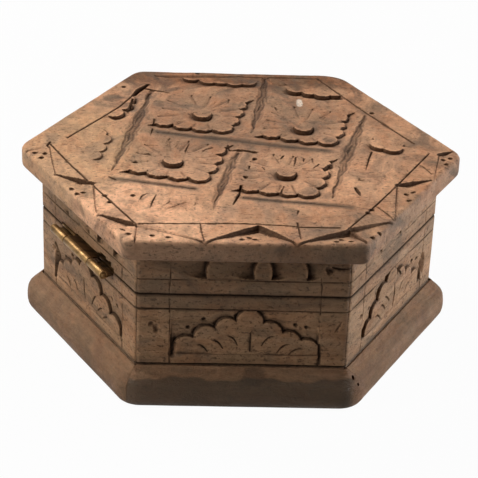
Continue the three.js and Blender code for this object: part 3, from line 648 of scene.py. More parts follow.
def plinth_line(out, left_end, right_end, count=70):
    """The strip's outline on the table at a distance out: points from its left end to its right end."""
    apothem = -OUTER + out
    radius = max(CORNER * (out - 0.3) / (NOSE_OUT - 0.3), 0.25)
    arc = [round_corner(apothem, radius, a) for a in np.linspace(0, SIXTH / 2, 9)]
    left = [(-x, y) for x, y in reversed(arc)]
    right = list(arc)
    if left_end is not None:
        left = [(left_end(out), -apothem)] * len(arc)
    if right_end is not None:
        beyond = [round_corner(apothem, radius, a) for a in np.linspace(SIXTH / 2, SIXTH, 9)]
        last = np.array(beyond[-1])
        run = max((right_end - last[1]) / math.sin(SIXTH), 0)
        if last[1] > right_end:
            beyond = [(x, min(y, right_end)) for x, y in beyond]
            last, run = np.array(beyond[-1]), 0
        tail = [last + run * t * np.array([math.cos(SIXTH), math.sin(SIXTH)]) for t in np.linspace(0.2, 1, 5)]
        right = [(x, min(y, right_end)) for x, y in arc] + beyond[1:] + [tuple(p) for p in tail]
    start, stop = left[-1][0], arc[0][0]
    straight = [(start + (stop - start) * t, -apothem) for t in np.linspace(0, 1, count)[1:-1]]
    return np.array(left + straight + right)


def plinth_piece(name, turn, back=0.1, foot=0.0, left_end=None, right_end=None):
    """A strip of moulding as one closed sweep with flat ends."""
    section = plinth_section(back)
    lines = [plinth_line(out, left_end, right_end) for out, _ in section]
    across = len(lines[0])
    strip = new_mesh(bpy.ops.mesh.primitive_grid_add, name, x_subdivisions=across - 1, y_subdivisions=len(section),
                     size=1)
    rows = [np.column_stack([line, np.full(across, max(height, foot))])
            for line, (_, height) in zip(lines, section)]
    points = np.vstack([*rows, rows[0]])
    level = np.repeat([height for _, height in section] + [PLINTH_TOP], across)
    outward = np.repeat([out for out, _ in section] + [0.3], across)
    waves = hand_waves(points[:, 0] + turn * 9, level, 300 + turn, length=16, height=0.07)
    points[:, 1] += waves * clamp(outward - 0.5)
    move_points(strip, turned_about(points, turn))
    # Grey soot and painted shade cover the moulding up to its crease, on the front strip thickly but for its right
    # end.
    wander = 0.3 * np.sin(points[:, 0] * 0.35 + turn) + 0.15 * np.sin(points[:, 0] * 1.1)
    soot_and_shade_cover = clamp((7.6 + wander - points[:, 2]) / 0.25) * (0.95 if turn == 0 else 0.22)
    soot_and_shade_cover *= clamp((26.4 - points[:, 0]) / 1.6) if turn == 0 else 1
    strip.data.attributes.new("soot_and_shade", "FLOAT", "POINT").data.foreach_set("value", soot_and_shade_cover.astype(np.float32))
    pick(strip, vertices=np.ones(len(points), bool))
    bpy.ops.mesh.remove_doubles(threshold=0.000003)
    pick_open_edges()
    bpy.ops.mesh.edge_face_add()
    face_outwards()
    finish_edges(strip, angle=35)
    stains = [((3.2, -43.4), (2.9, 1.7), (0.09, 0.042, 0.025), 0.65)] if turn == 0 else []
    # Each strip's colour is scaled by its side, which also paints in how brightly light falls on that strip.
    tint_and_light = {0: (1.2, 1.2, 1.2), 1: (1.2, 1.12, 0.96), 5: (0.97, 0.96, 0.9)}.get(turn, (1, 1, 1))
    paint(strip, wood_finish(f"plinth_wood_{name}", np.multiply(PLINTH_PALE, tint_and_light), np.multiply(PLINTH_DEEP, tint_and_light),
                             grain_turn=turn * SIXTH, shift=40.0 + 6 * turn, grime=0.2, spots=stains, pitted=0.25))
    return strip


def start_past_front(out):
    """Where the strip right of the front one starts along its own side: just clear of the sliding strip's path."""
    apothem = -OUTER + out
    return (OUTER + 0.02 + apothem * math.cos(SIXTH)) / math.sin(SIXTH)


for turn, name in enumerate(SIDES[1:], start=1):
    strip = plinth_piece(f"plinth_strip_{name}", turn, left_end=start_past_front if turn == 1 else None)
    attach(strip, "box")
    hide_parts(f"plinth_{name}")

# ---------------------------------------------------------------- secret strip
# The front strip of the plinth isn't glued: a dovetail tongue on its back runs in the front board's groove, so it
# slides out to the right by 20 mm and uncovers the lock. It stands 0.3 mm clear of the board and of the table.
TONGUE = (-22.68, -2.68, 1.2, 4.2, 1.2, 1.7, 0.45)       # as the dovetail's ends, foot, top, front, depth and neck
secret = plinth_piece("secret_sliding_strip", 0, back=0.3, foot=0.3, right_end=OUTER - 0.1)
# Two old nail holes near its right end, each a place and its half widths and length.
NAIL_HOLES = [((25.8, -42.7, 7.7), (0.34, 0.62, 3)), ((27.0, -43.3, 6.3), (0.3, 0.42, 3))]
for spot, size in NAIL_HOLES:
    hole = new_mesh(bpy.ops.mesh.primitive_cylinder_add, vertices=14, radius=1, depth=1,
                    rotation=(math.radians(55), 0, math.radians(25)))
    hole.scale = size
    bpy.ops.object.transform_apply()
    move_points(hole, (points_of(hole) + spot) * MM)
    cut_away(secret, hole)
finish_edges(secret, angle=35)
tongue = dovetail(*TONGUE)
shape_with(tongue, "BEVEL", width=0.15 * MM, segments=2)
paint(tongue, secret.data.materials[0])
make_active(secret)
tongue.select_set(True)
bpy.ops.object.join()
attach(secret, "plinth_slider")
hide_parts("secret_strip")

# ---------------------------------------------------------------- lock bolt and keeper
# A sliding hardwood bolt behind the front board, with a thumb that reaches into the slot, and the L-shaped rail that
# keeps it in place. Both are sawn and left plain, since they are out of sight while the box is shut.
lock_wood = wood_finish("lock_wood", (0.4, 0.25, 0.15), (0.25, 0.14, 0.08), shift=71.0, grime=0.15)
for name in ("lock_bolt", "bolt_keeper"):
    paint(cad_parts[name], lock_wood)

# ---------------------------------------------------------------- rim boards
# The lid's rim repeats the sides: six mitred hardwood boards glued under the plate, with a score line and a carved
# band of beads. Rim and body were one until the closed box was sawn apart.
for turn, name in enumerate(SIDES):
    rim = carved_board(f"rim_board_{name}", RIM_BOTTOM, RIM_TOP, turn, step=0.5)
    if name == "front_left":
        # A close notch over the barrel; past its middle knuckle the wood has broken out in steps. Each step is its
        # left end, right end and height.
        steps = [(-12.9, MIDDLE[0] + 0.2, 0.85), (MIDDLE[0] + 0.1, 5.6, 1.25), (5.5, 6.9, 1.75), (6.8, 9.6, 2.3),
                 (9.5, 11.2, 1.8), (11.1, 12.2, 2.1), (12.1, 13.5, 1.0)]
        notches = [block((a, OUTER - 1, RIM_BOTTOM - 1), (b, OUTER + 2.6, RIM_BOTTOM + top), turn)
                   for a, b, top in steps]
        cut_away(rim, *notches, leaf_mortise(RIM_BOTTOM - 1, RIM_BOTTOM + 0.9, turn))
    finish_edges(rim)
    paint(rim, side_woods[turn])
    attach(rim, "lid")
    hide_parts(f"rim_{name}")

# ---------------------------------------------------------------- lid plate
# One thick hexagonal board with a round nose, carved with four square flower tiles on a slanting lattice, parts of
# more flowers where the border cuts them, tapering grooves between them, and a border of chip-carved triangles.
PLATE_TOP, PLATE_THICK, WORN = 44.25, 5.6, 1.3     # worn: the radius of its rounded edges
PLATE_OUT = -OUTER + 4.398
# The radii of its corners in plan: left, front left, front right, right, back right, back left.
CORNERS = [5.0, 2.4, 2.0, 5.0, 7.5, 4.0]
PETAL, BUTTON = 2.55, 2.3               # radii
# The way each side of the plate faces, from the front round.
FACING = np.array([(math.sin(k * SIXTH), -math.cos(k * SIXTH)) for k in range(6)])
# The panel inside the border: its edge's distance from the centre, from the front round to the front left.
PANEL_EDGES = [38.0, 37.2, 38.9, 42.9, 38.6, 39.6]

# Each flower tile: its four corner petals from the front left round, and the button in its middle.
TILES = [
    ([(-24.2, -10.6), (-10.3, -14.3), (-6.4, -0.2), (-20.2, 3.6)], (-16.4, -6.2)),
    ([(1.5, -18.6), (14.6, -20.7), (18.4, -6.6), (4.9, -4.0)], (10.1, -11.4)),
    ([(-18.6, 15.2), (-4.5, 12.3), (-0.8, 26.0), (-14.8, 29.2)], (-9.4, 20.2)),
    ([(7.5, 9.9), (20.8, 6.8), (24.2, 20.0), (11.0, 23.6)], (15.4, 13.6)),
]
# Flowers that the border cuts off: the petals that show, the way the cut side faces, and how deep the ground is sunk.
PART_FLOWERS = [
    ([(-7.6, 41.0), (-4.4, 40.9), (-0.9, 40.2), (2.2, 40.6), (-12, 42.6), (-9, 42.8), (-5, 43), (-7, 44), (0, 43)],
     (0, -1), 0.75),
    ([(14.7, 36.7), (18.4, 35.5), (21.4, 34.5), (14.6, 40), (17, 38.6), (20.6, 37.4), (15, 42.4), (19, 40.6),
      (24.6, 35)], (0, -1), 1.15),
    ([(-31.3, 19.5), (-29.3, 23.9), (-28.8, 27.5), (-30.9, 24.1), (-30.5, 27.7), (-32.5, 21.7), (-29.6, 29.6)],
     (0.75, -0.65), 0.9),
    ([(-35.7, -4.6), (-34.8, -0.3), (-33.8, 4.2), (-36.6, -0.6), (-35.6, 3.8), (-35, 7.6)], (1, -0.1), 0.45),
    ([(33.6, 4.8), (36.4, 3.4), (34.6, 8.0), (37.0, 5.6)], (-0.2, -1), 0.9),
]


def flower_tile(depth, x, y, corners, button, deep, seed):
    """A square flower: twelve flat petals stand over ground that is sunk beside them and rises back to the face."""
    corners, button = np.array(corners, float), np.array(button)
    near = within(x, y, corners, 7.5)
    px, py = x[near], y[near]
    draw = np.random.default_rng(seed)
    petals, notches, edges = [], [], []
    for here, there in zip(corners, np.roll(corners, -1, axis=0)):
        out = np.array([there[1] - here[1], here[0] - there[0]]) / np.hypot(*(there - here))
        spots = [here + (there - here) * share + out * bulge for share, bulge in ((0, 0), (0.335, 0.45), (0.67, 0.4))]
        petals += spots
        spots.append(there)
        notches += [((a + b) / 2 + out * 1.9, out) for a, b in zip(spots, spots[1:])]
        edges.append((px - here[0]) * out[0] + (py - here[1]) * out[1])
    away = np.maximum.reduce(edges) - 0.5
    # The ground is cut down in front and to the right; at the back and left the flower runs into the face.
    sunk = np.array([1.0, 0.95, 0.16, 0.2])[np.argmax(edges, axis=0)] * deep
    for cx, cy in petals:
        away = np.minimum(away, np.hypot(px - cx, py - cy) - PETAL * draw.uniform(0.95, 1.05))
    away += 0.1 * np.sin(px * 3.1 + py * 1.3 + seed) + 0.08 * np.sin(px * 1.7 - py * 4.3)
    ground = sunk * clamp(1 - away / 3.0) ** 0.8 * clamp(away / 0.14)
    cut = np.maximum(ground, 0.1 * sunk / deep * clamp(1 + away / 0.45) ** 2 * (away < 0))
    reach = np.hypot(px - button[0], py - button[1])
    front = (py - button[1]) / np.maximum(reach, 0.1)
    dish = clamp(1 - (reach - BUTTON) / 4.6) ** 1.3 * clamp(0.2 - 1.05 * front)
    dish *= clamp((reach - BUTTON) / 0.14)
    domed = 0.12 * (reach < BUTTON) * clamp(reach / BUTTON) ** 3 * clamp(-front)
    cut = np.maximum(cut, np.maximum(dish * 1.3, domed))
    part = np.zeros(len(near))
    for spot, out in notches:
        length = draw.uniform(1.2, 3.4)
        aside = np.array([-out[1], out[0]]) * draw.normal(0, 0.4)
        score(part, px, py, [spot + out * 0.3, spot - out * length * 0.5 + aside * 0.3, spot - out * length + aside],
              [0.7, 0.35, 0.15], [0.5, 0.22, 0.06])
        score(part, px, py, [spot, spot + (button - spot) * 0.35, spot + (button - spot) * 0.62], [1.9, 1.6, 0.8],
              [0.3, 0.4, 0.08])
    for ray in range(8):
        angle = math.radians(-20 + 31 * ray + draw.normal(0, 7))
        heading = np.array([math.cos(angle), math.sin(angle)])
        start, length = draw.uniform(4.2, 6.0), draw.uniform(1.8, 3.6)
        aside = np.array([-heading[1], heading[0]]) * draw.normal(0, 0.5)
        wide = draw.uniform(0.3, 0.6)
        line = [button + heading * start, button + heading * (start + length / 2) + aside * 0.4,
                button + heading * (start + length) + aside]
        score(part, px, py, *curved(line, [0.15, wide, 0.12], [0.04, 0.18, 0.04], draw.uniform(-0.6, 0.6)))
    depth[near] = np.maximum(depth[near], np.maximum(cut, part))


def part_flower(depth, x, y, petals, facing, deep):
    """What shows of a flower at the border: petals standing over ground that is sunk on one side of them."""
    near = within(x, y, petals, 6)
    px, py = x[near], y[near]
    away, toward = np.full(len(near), 99.0), np.zeros(len(near))
    for cx, cy in petals:
        reach = np.hypot(px - cx, py - cy)
        nearest = reach - PETAL < away
        toward = np.where(nearest, ((px - cx) * facing[0] + (py - cy) * facing[1]) / np.maximum(reach, 0.1), toward)
        away = np.minimum(away, reach - PETAL)
    deep = deep * clamp(1.3 * toward)
    ground = deep * clamp(1 - away / 2.6) ** 0.8 * clamp(away / 0.14)
    ground *= clamp(inside_border(px, py) / 0.5)
    depth[near] = np.maximum(depth[near], ground)


def gouge(depth, x, y, line, width, deep, lean):
    """A groove cut in several wavering passes of a gouge, so that ridges run along it."""
    near = within(x, y, line, 3)
    px, py = x[near], y[near]
    groove = np.zeros(len(near))
    wide = 1.3 if max(deep) > 0.7 else 1.0
    wavering = px + 0.2 * np.sin(py * 0.9) + 0.08 * np.sin(py * 2.3)
    score(groove, wavering, py, line, np.multiply(width, wide), deep, lean)
    share = groove / max(deep)
    ridges = np.sin(share * 13 + 1.6 * np.sin(px * 0.5 + py * 0.45)) * 0.065 * wide * clamp(share * 4)
    depth[near] = np.maximum(depth[near], groove * (1.2 - 0.5 * share) + ridges)


def inside_border(x, y):
    """How far inside the border each place lies, negative beyond it."""
    return np.min([limit - (x * nx + y * ny) for limit, (nx, ny) in zip(PANEL_EDGES, FACING)], axis=0)


# The gouged grooves between the tiles: spots along each, its width there in mm, how deep, and the lean of its floor.
GROOVES = [
    ([(-22.2, 33.0), (-24.2, 20.6), (-26.6, 8), (-28.6, -3), (-30.3, -12.6)], [1.0, 2.7, 3.1, 2.6, 0.3],
     [0.4, 0.85, 0.85, 0.7, 0.15], 0.12),
    ([(7.2, 42.5), (6.2, 32.3), (4.2, 20), (2.6, 9.4)], [1.8, 2.8, 2.8, 0.5], [0.6, 0.85, 0.85, 0.2], 0.1),
    ([(-1.2, -1.5), (-2.7, -7.1), (-4.6, -17.0), (-6.2, -25.0), (-7.2, -31.0)], [2.2, 3.0, 2.8, 1.8, 0.3],
     [0.7, 0.9, 0.85, 0.6, 0.15], -0.05),
    ([(31.2, 20.8), (28.2, 9.7), (24.6, -4.0), (20.6, -21), (20.1, -24.0)], [0.8, 3.1, 3.2, 1.2, 0.3],
     [0.4, 0.9, 0.9, 0.45, 0.15], 0.1),
    ([(-19.9, 8.7), (-13.5, 7.4), (-3.1, 5.2), (7.8, 2.8), (20.4, 0.3)], [1.6, 2.3, 2.2, 1.7, 0.6],
     [0.4, 0.55, 0.45, 0.3, 0.1], 0.0),
    ([(-28.4, -17.0), (-20.0, -18.7), (-11.2, -20.9)], [0.6, 1.6, 1.0], [0.15, 0.35, 0.25], 0.0),
    ([(0.2, -24.9), (9.0, -26.2), (22.8, -28.2)], [1.6, 1.7, 0.3], [0.3, 0.3, 0.06], 0.0),
]
# Small deep chisel cuts, and fine lines.
CUTS = [
    ([(-3.3, 2.3), (-2.9, 0.2), (-0.1, -0.4), (3.2, -1.2)], [0.5, 0.9, 0.9, 1.3], [0.6, 1.0, 0.9, 1.1]),
    ([(-24.6, 34.2), (-21.0, 33.0), (-17.5, 32.0)], [1.1, 0.8, 0.5], [0.9, 0.7, 0.3]),
    ([(-26.9, 29.4), (-25.4, 33.0), (-23.2, 36.6)], [0.9, 2.1, 1.2], [0.7, 1.5, 1.0]),
    ([(-0.6, -19.0), (-1.2, -23.5), (-2.6, -28.6)], [0.9, 0.9, 0.3], [1.0, 0.9, 0.2]),
    ([(-21.2, 16.4), (-21.3, 12), (-21.9, 6.8)], [0.6, 0.6, 0.3], [0.5, 0.5, 0.2]),
    ([(31.5, 1.6), (30.2, -3.1), (28.9, -9.5)], [0.6, 0.5, 0.3], [0.5, 0.4, 0.15]),
    ([(25.7, -18.8), (26.2, -20.9), (26.5, -22.5)], [0.7, 1.2, 0.5], [0.6, 0.9, 0.3]),
    ([(27.1, -13.9), (26.9, -14.8), (28.2, -15.3)], [0.4, 0.7, 0.2], [0.2, 0.4, 0.1]),
    ([(-19.9, -24.3), (-20.7, -27.5), (-21.3, -31.6)], [0.25, 0.4, 0.2], [0.2, 0.35, 0.1]),
    ([(-21.9, -23.8), (-23.2, -25.2), (-23.7, -27.4)], [0.25, 0.45, 0.2], [0.2, 0.35, 0.1]),
    ([(-17.0, -25.6), (-16.8, -27.6), (-18.4, -30.0)], [0.2, 0.3, 0.2], [0.1, 0.2, 0.1]),
    ([(-13.0, -27.6), (-15.6, -29.6), (-18.0, -31.6)], [0.25, 0.3, 0.2], [0.15, 0.2, 0.1]),
    ([(-10.9, -28.2), (-11.8, -30.0)], [0.3, 0.2], [0.2, 0.1]),
    ([(-31.0, -15.8), (-30.2, -16.6), (-29.4, -17.4)], [0.5, 0.7, 0.5], [0.3, 0.5, 0.3]),
    ([(-24.6, -3.0), (-22.2, -3.3), (-20.6, -4.8)], [0.5, 0.6, 0.3], [0.4, 0.5, 0.2]),
    ([(-17.0, 4.0), (-17.9, 1.2)], [0.5, 0.3], [0.4, 0.2]),
    ([(-12.6, 3.0), (-13.4, -1.2), (-13.5, -3.6)], [0.5, 0.4, 0.2], [0.4, 0.3, 0.1]),
    ([(-7.0, 0.7), (-8.8, -0.5), (-9.6, -2.0)], [0.5, 0.4, 0.2], [0.4, 0.3, 0.1]),
    ([(1.6, -8.8), (1.4, -10.4)], [0.5, 0.3], [0.4, 0.2]),
    ([(4.6, -9.2), (5.8, -12.4)], [0.4, 0.2], [0.3, 0.1]),
    ([(9.8, -2.9), (9.0, -4.8)], [0.6, 0.3], [0.4, 0.2]),
    ([(12.7, -3.2), (12.4, -6.5), (11.9, -9.0)], [0.5, 0.5, 0.2], [0.4, 0.3, 0.1]),
    ([(14.6, -4.0), (14.4, -7.2)], [0.5, 0.3], [0.35, 0.15]),
    ([(18.0, -7.0), (16.4, -9.4)], [0.5, 0.3], [0.35, 0.15]),
    ([(9.3, -18.4), (8.7, -20.6), (8.4, -22.4)], [0.3, 0.5, 0.7], [0.2, 0.4, 0.6]),
    ([(20.7, -7.0), (19.4, -9.4), (19.2, -10.6)], [0.6, 1.7, 0.6], [0.5, 1.2, 0.4]),
    ([(-28.0, 19.6), (-27.2, 23.0), (-26.8, 27.6)], [0.8, 1.2, 0.7], [0.6, 0.8, 0.5]),
    ([(8.9, 24.4), (9.2, 22.6)], [0.7, 0.3], [0.4, 0.2]),
    ([(12.0, -30.6), (11.7, -32.4)], [0.7, 0.4], [0.4, 0.2]),
]
# The score lines that part the border from the panel, and those across the border between its fields.
BORDER_LINES = [
    ([(-24.0, -38.3), (-14, -37.9), (0, -37.4), (9, -37.9), (12.0, -38.5), (20.9, -38.5)], 0.5, 0.55),
    ([(-45.6, 0.6), (-39.6, -11.3), (-34.6, -20.2), (-24.5, -38)], 0.6, 0.6),
    ([(44.7, -0.2), (36.0, -16.2), (29.7, -27.4), (21.9, -40.0)], 0.5, 0.5),
    ([(-41.8, 4.3), (-35.8, 13.6), (-30.1, 22.6), (-27.2, 29)], 0.7, 0.6),
    ([(-20.6, 42.3), (-12.0, 42.7), (-3.0, 42.9), (0, 43.1), (20.8, 42.9)], [1.6, 2.6, 2.2, 0.9, 0.9],
     [1.0, 1.5, 1.2, 0.7, 0.7]),
    ([(-21.4, 42.4), (-17.5, 41.8), (-14.8, 41.3)], [1.0, 2.0, 0.6], [0.8, 1.2, 0.4]),
    ([(20.8, 42.4), (31.6, 22.4), (41.8, 5.3)], 0.7, 0.65),
    ([(-10.0, -37.6), (-9.8, -41.0), (-9.2, -45.4)], 0.4, 0.4),
    ([(11.5, -36.6), (11.7, -40.6), (11.9, -44.0)], [0.6, 0.4, 0.3], [0.6, 0.5, 0.3]),
    ([(41.7, -5.8), (42.9, -7.7), (44.2, -10.8)], 0.5, 0.45),
    ([(29.6, -27.8), (31.3, -30.2), (33.1, -33.6)], 0.5, 0.45),
    ([(-45.7, 1.7), (-46.3, -0.1), (-45.8, -1.2)], 0.8, 0.7),
    ([(-45.6, -1.3), (-44.5, -8.6), (-43.3, -15.2)], 0.4, 0.35),
    ([(36.6, -17.5), (35.0, -25), (33.4, -33.6)], 0.4, 0.35),
    ([(-34.6, -21), (-33.9, -27), (-33.0, -33.4)], 0.4, 0.35),
]
# Lowered triangles of the border: the deep apex, the two ends of the edge that rises to the face, the depth, and
# how far the wall toward the second end spreads.
CHIPS = [
    ((-23.9, -38.5), (-24.2, -45.9), (-9.0, -45.9), 0.6, 0.45),
    ((2.9, -38.6), (-9.0, -46.0), (11.0, -46.0), 1.3, 0.45),
    ((23.0, -39.6), (11.0, -46.0), (26.0, -44.9), 1.3, 0.45),
    ((23.4, -38.8), (33.4, -34.5), (26.2, -44.6), 0.9, 0.45),
    ((35.6, -16.9), (43.8, -14.1), (33.4, -34.2), 1.25, 2.6),
    ((47.3, -0.4), (50.6, 1.4), (44.3, -14.6), 1.1, 2.2),
    ((-34.5, -19.3), (-43.4, -15.3), (-33.1, -33.0), 1.3, 2.8),
    ((-24.0, -38.9), (-32.8, -34.3), (-24.4, -45.0), 1.3, 2.4),
    ((-47.8, -1.5), (-51.0, -3.1), (-44.1, -14.0), 0.3, 2.0),
]
DOTS = [(-20.5, -43.2), (-17.0, -43.9), (0.7, -42.6), (-0.9, -43.8), (1.9, -43.6), (20.9, -42.6), (19.7, -44),
        (22.9, -43.9), (-39.2, -22), (-36.5, -23.2), (-37.8, -24.6), (-30.3, -28.5), (-31.6, -25.4), (-27, -40.8),
        (-25.6, -43), (-48.9, -4), (-46.5, -4.5), (-47.2, -6.7), (48.0, -2.6), (49.6, -2.3), (48.3, -5.4),
        (37.3, -20.5), (39, -19.5), (37.6, -24), (29.5, -40), (27.7, -42.3), (28.6, -29.5), (27.6, -31),
        (-25.2, -25.0), (-25.1, -7.8), (2.9, -4.9), (0.5, -14.4), (-10.5, 44.6), (33, 22.5), (-29.3, 34.8)]


def lid_depth(x, y):
    """How deep the face of the plate is cut at each place."""
    depth = np.zeros(len(x))
    for seed, (corners, button) in enumerate(TILES):
        flower_tile(depth, x, y, corners, button, deep=0.82, seed=500 + seed)
    for petals, facing, deep in PART_FLOWERS:
        part_flower(depth, x, y, petals, facing, deep)
    for line, width, deep, lean in GROOVES:
        gouge(depth, x, y, line, width, deep, lean)
    for line, width, deep in CUTS:
        score(depth, x, y, line, np.multiply(width, 0.85), deep)
    for line, width, deep in BORDER_LINES:
        score(depth, x, y, line, np.multiply(width, 0.8), np.multiply(deep, 0.62))
    for apex, one, other, deep, soft in CHIPS:
        chip(depth, x, y, apex, one, other, deep, soft)
        for end, scale in ((one, 1.0), (other, 1.0 if soft < 1 else 0.28)):
            middle = np.array(apex) * 0.55 + np.array(end) * 0.45
            score(depth, x, y, [apex, middle, end], np.array([1.2, 1.3, 0.4]) * max(scale, 0.4),
                  np.array([deep, deep * 0.9, 0.4]) * scale)
    punch(depth, x, y, DOTS, 0.6, 0.8)
    return depth + hand_waves(x, y, 7, length=15, height=0.1) + hand_waves(x, y, 8, length=4, height=0.06)


def chip(depth, x, y, apex, one, other, deep, soft):
    """A triangle lowered like a ramp: deep at its apex, level with the face along its far edge."""
    near = within(x, y, [apex, one, other], 0.5)
    p = np.stack([x[near], y[near]], 1)
    apex, one, other = (np.array(spot) for spot in (apex, one, other))
    inside = np.full(len(near), 99.0)
    for a, b, c, wall in ((apex, one, other, 0.45), (apex, other, one, soft)):
        normal = np.array([b[1] - a[1], a[0] - b[0]]) / np.hypot(*(b - a))
        normal *= np.sign((c - a) @ normal)
        inside = np.minimum(inside, (p - a) @ normal / wall)
    normal = np.array([other[1] - one[1], one[0] - other[0]]) / np.hypot(*(other - one))
    normal *= np.sign((apex - one) @ normal)
    rise = clamp(((p - one) @ normal) / ((apex - one) @ normal))
    depth[near] = np.maximum(depth[near], deep * rise ** 0.75 * clamp(inside))


def plate_place(flat):
    """From the flat disc the plate is modelled from, to its place: wrapped round the nose, corners rounded."""
    level = np.max(flat[:, :2] @ FACING.T, axis=1)
    level = np.maximum(level, 1e-6)
    straight, quarter = PLATE_OUT - WORN, WORN * math.pi / 2
    run = np.clip(level - straight, 0, None)
    above, below = (np.clip(run - start, 0, quarter) / WORN for start in (0, quarter + PLATE_THICK - 2 * WORN))
    drop = WORN * (1 - np.cos(above)) + np.clip(run - quarter, 0, PLATE_THICK - 2 * WORN) + WORN * np.sin(below)
    apothem = np.minimum(level, straight) + WORN * (np.sin(above) - 1 + np.cos(below))
    x, y = (flat[:, :2] * (apothem / level)[:, None]).T
    bearing = np.arctan2(y, x)
    corner = np.round(bearing / SIXTH).astype(int)
    from_corner = bearing - corner * SIXTH
    radii = np.array([CORNERS[(3 + c) % 6] for c in range(6)])
    fade = clamp((apothem - 34) / (PLATE_OUT - 34))
    radius = radii[corner % 6] * fade * fade * (3 - 2 * fade) + 1e-4
    centre = (apothem - radius) / math.cos(math.pi / 6)
    touch = np.arctan2(radius / 2, centre + radius * math.cos(math.pi / 6))
    sharp = apothem / np.cos(math.pi / 6 - np.abs(from_corner))
    round_reach = centre * np.cos(from_corner) + np.sqrt(
        np.maximum(radius ** 2 - (centre * np.sin(from_corner)) ** 2, 0))
    scale = np.where(np.abs(from_corner) < touch, round_reach / sharp, 1.0)
    return np.stack([x * scale, y * scale, PLATE_TOP - drop], 1), clamp(1 - drop / 1.2)


FLAT_OUT = PLATE_OUT - WORN + WORN * math.pi + PLATE_THICK - 2 * WORN
plate = new_mesh(bpy.ops.mesh.primitive_circle_add, "lid_carved_plate", vertices=6, fill_type="TRIFAN",
                 radius=FLAT_OUT / math.cos(math.pi / 6), rotation=(0, 0, SIXTH / 2))
bpy.ops.object.transform_apply()
pick(plate, vertices=np.ones(7, bool))
bpy.ops.mesh.subdivide(number_cuts=96)
bpy.ops.object.mode_set(mode="OBJECT")


def flat_lid_depth(flat):
    """The carving as the flat disc has it, fading out where the nose rounds down."""
    place, share = plate_place(flat)
    return lid_depth(place[:, 0], place[:, 1]) * share


follow_carving(plate, flat_lid_depth, finest=0.2, tolerance=0.035)
place, share = plate_place(points_of(plate))
x, y = place[:, 0], place[:, 1]
place[:, 2] -= lid_depth(x, y) * share
move_points(plate, place * MM)
pick(plate)
pick_open_edges()
bpy.ops.mesh.edge_face_add()
face_outwards()
# Soot is rubbed into the shallow grooves, each its spots and a width. The rounded edge is darkened with painted shade,
# most in front.
SOOTY_GROOVES = [([(-20, 8.8), (-13.5, 7.4), (-3.1, 5.2), (7.8, 2.8), (20.4, 0.3)], 4.4),
                 ([(-30, -16.8), (-20, -18.7), (-11.2, -20.9)], 3.2), ([(0, -24.9), (9, -26.2), (24, -28.4)], 3.4)]
rubbed, gouged = np.zeros(len(x)), np.zeros(len(x))
for line, width in SOOTY_GROOVES:
    score(rubbed, x, y, line, width, 1.15)
edge = clamp(1 - share * 1.8) * (0.25 + 0.5 * clamp((-44.4 - y) / 1.2))
# The four deep grooves are darkened all along.
for line, width, deep, _ in GROOVES[:4]:
    score(gouged, x, y, line, np.multiply(width, 1.25), np.multiply(deep, 2))
keep_dirt_and_shade(plate, x, y, lid_depth, share, soot_and_shade=np.maximum(clamp(rubbed), edge), added_hollow=0.2 * clamp(gouged))
finish_edges(plate)
# As wood_finish's spots: a dull brown middle, a dark back of painted shade, paler wood in front and at the right, a
# broad pool of painted light and sheen over the front left, paler wood at the left, a fleck of white filler, and a
# dark stain.
LID_STAINS_AND_LIGHT = [
    ((4.0, 8.0), (35.0, 36.0), (0.2, 0.118, 0.075), 0.5),
    # Painted shade along the back.
    ((0.0, 50.0), (60.0, 15.0), (0.125, 0.048, 0.019), 0.93),
    ((4.0, -14.0), (31.0, 15.0), (0.8, 0.43, 0.245), 0.4),
    ((27.0, -5.0), (11.0, 22.0), (0.84, 0.45, 0.255), 0.55),
    # A broad pool of painted light and sheen over the front left.
    ((-60.0, -62.0), (66.0, 66.0), (1.0, 0.55, 0.325), 0.9),
    ((-48.0, -2.0), (26.0, 28.0), (0.58, 0.34, 0.18), 0.75),
    ((15.1, 27.6), (0.85, 2.3), (0.85, 0.74, 0.62), 1.0),
    ((-31.8, 28.0), (2.6, 2.4), (0.085, 0.07, 0.05), 0.75),
]
paint(plate, wood_finish("lid_wood", (0.6, 0.325, 0.185), (0.45, 0.236, 0.13), grain_turn=0.04, shift=90.0, grime=0.6,
                         spots=LID_STAINS_AND_LIGHT, fibre=(1.2, 0.4), across=1.6, pitted=0.55, wax_and_shade_colour=(0.07, 0.031, 0.014)))
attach(plate, "lid")
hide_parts("lid_top")

# ---------------------------------------------------------------- catch
# A hook bent from a strip of dull steel, fixed inside the front of the rim with two steel screws. It hangs down into
# the body, where the bolt's nose slides over its foot when the box is locked.


def metal_finish(name, colour, tarnish, rough, patch=2.2, turn=0.0):
    """Metal drawn along X after a turn about Z, with tarnished patches of about a size in mm, and fine streaks."""
    material, tree, shader = new_material(name)
    shader.inputs["Metallic"].default_value = 1.0
    place = add_node(tree, "TexCoord").outputs["Object"]
    drawn = add_node(tree, "Mapping", Vector=place, Rotation=(0, 0, -turn), Scale=(0.15, 1, 1)).outputs[0]
    patches = add_node(tree, "TexNoise", Vector=drawn, Scale=1000 / patch, Detail=5).outputs["Fac"]
    streaks = add_node(tree, "TexNoise", Vector=drawn, Scale=5200, Detail=3).outputs["Fac"]
    share = add_node(tree, "MapRange", Value=patches, From_Min=0.42, From_Max=0.7).outputs[0]
    mixed = add_node(tree, "Mix", {"data_type": "RGBA"}, _0=share, _6=(*colour, 1), _7=(*tarnish, 1)).outputs[2]
    dull = add_node(tree, "MapRange", Value=patches, To_Min=rough, To_Max=rough + 0.16).outputs[0]
    bump = add_node(tree, "Bump", Distance=0.00001, Strength=0.15, Height=streaks).outputs[0]
    for value, socket in ((mixed, "Base Color"), (dull, "Roughness"), (bump, "Normal")):
        tree.links.new(value, shader.inputs[socket])
    return material


steel_finish = metal_finish("dull_steel", (0.42, 0.41, 0.39), (0.16, 0.12, 0.09), rough=0.36)
for name in ("catch_hook", "catch_screw_1", "catch_screw_2"):
    paint(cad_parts[name], steel_finish)

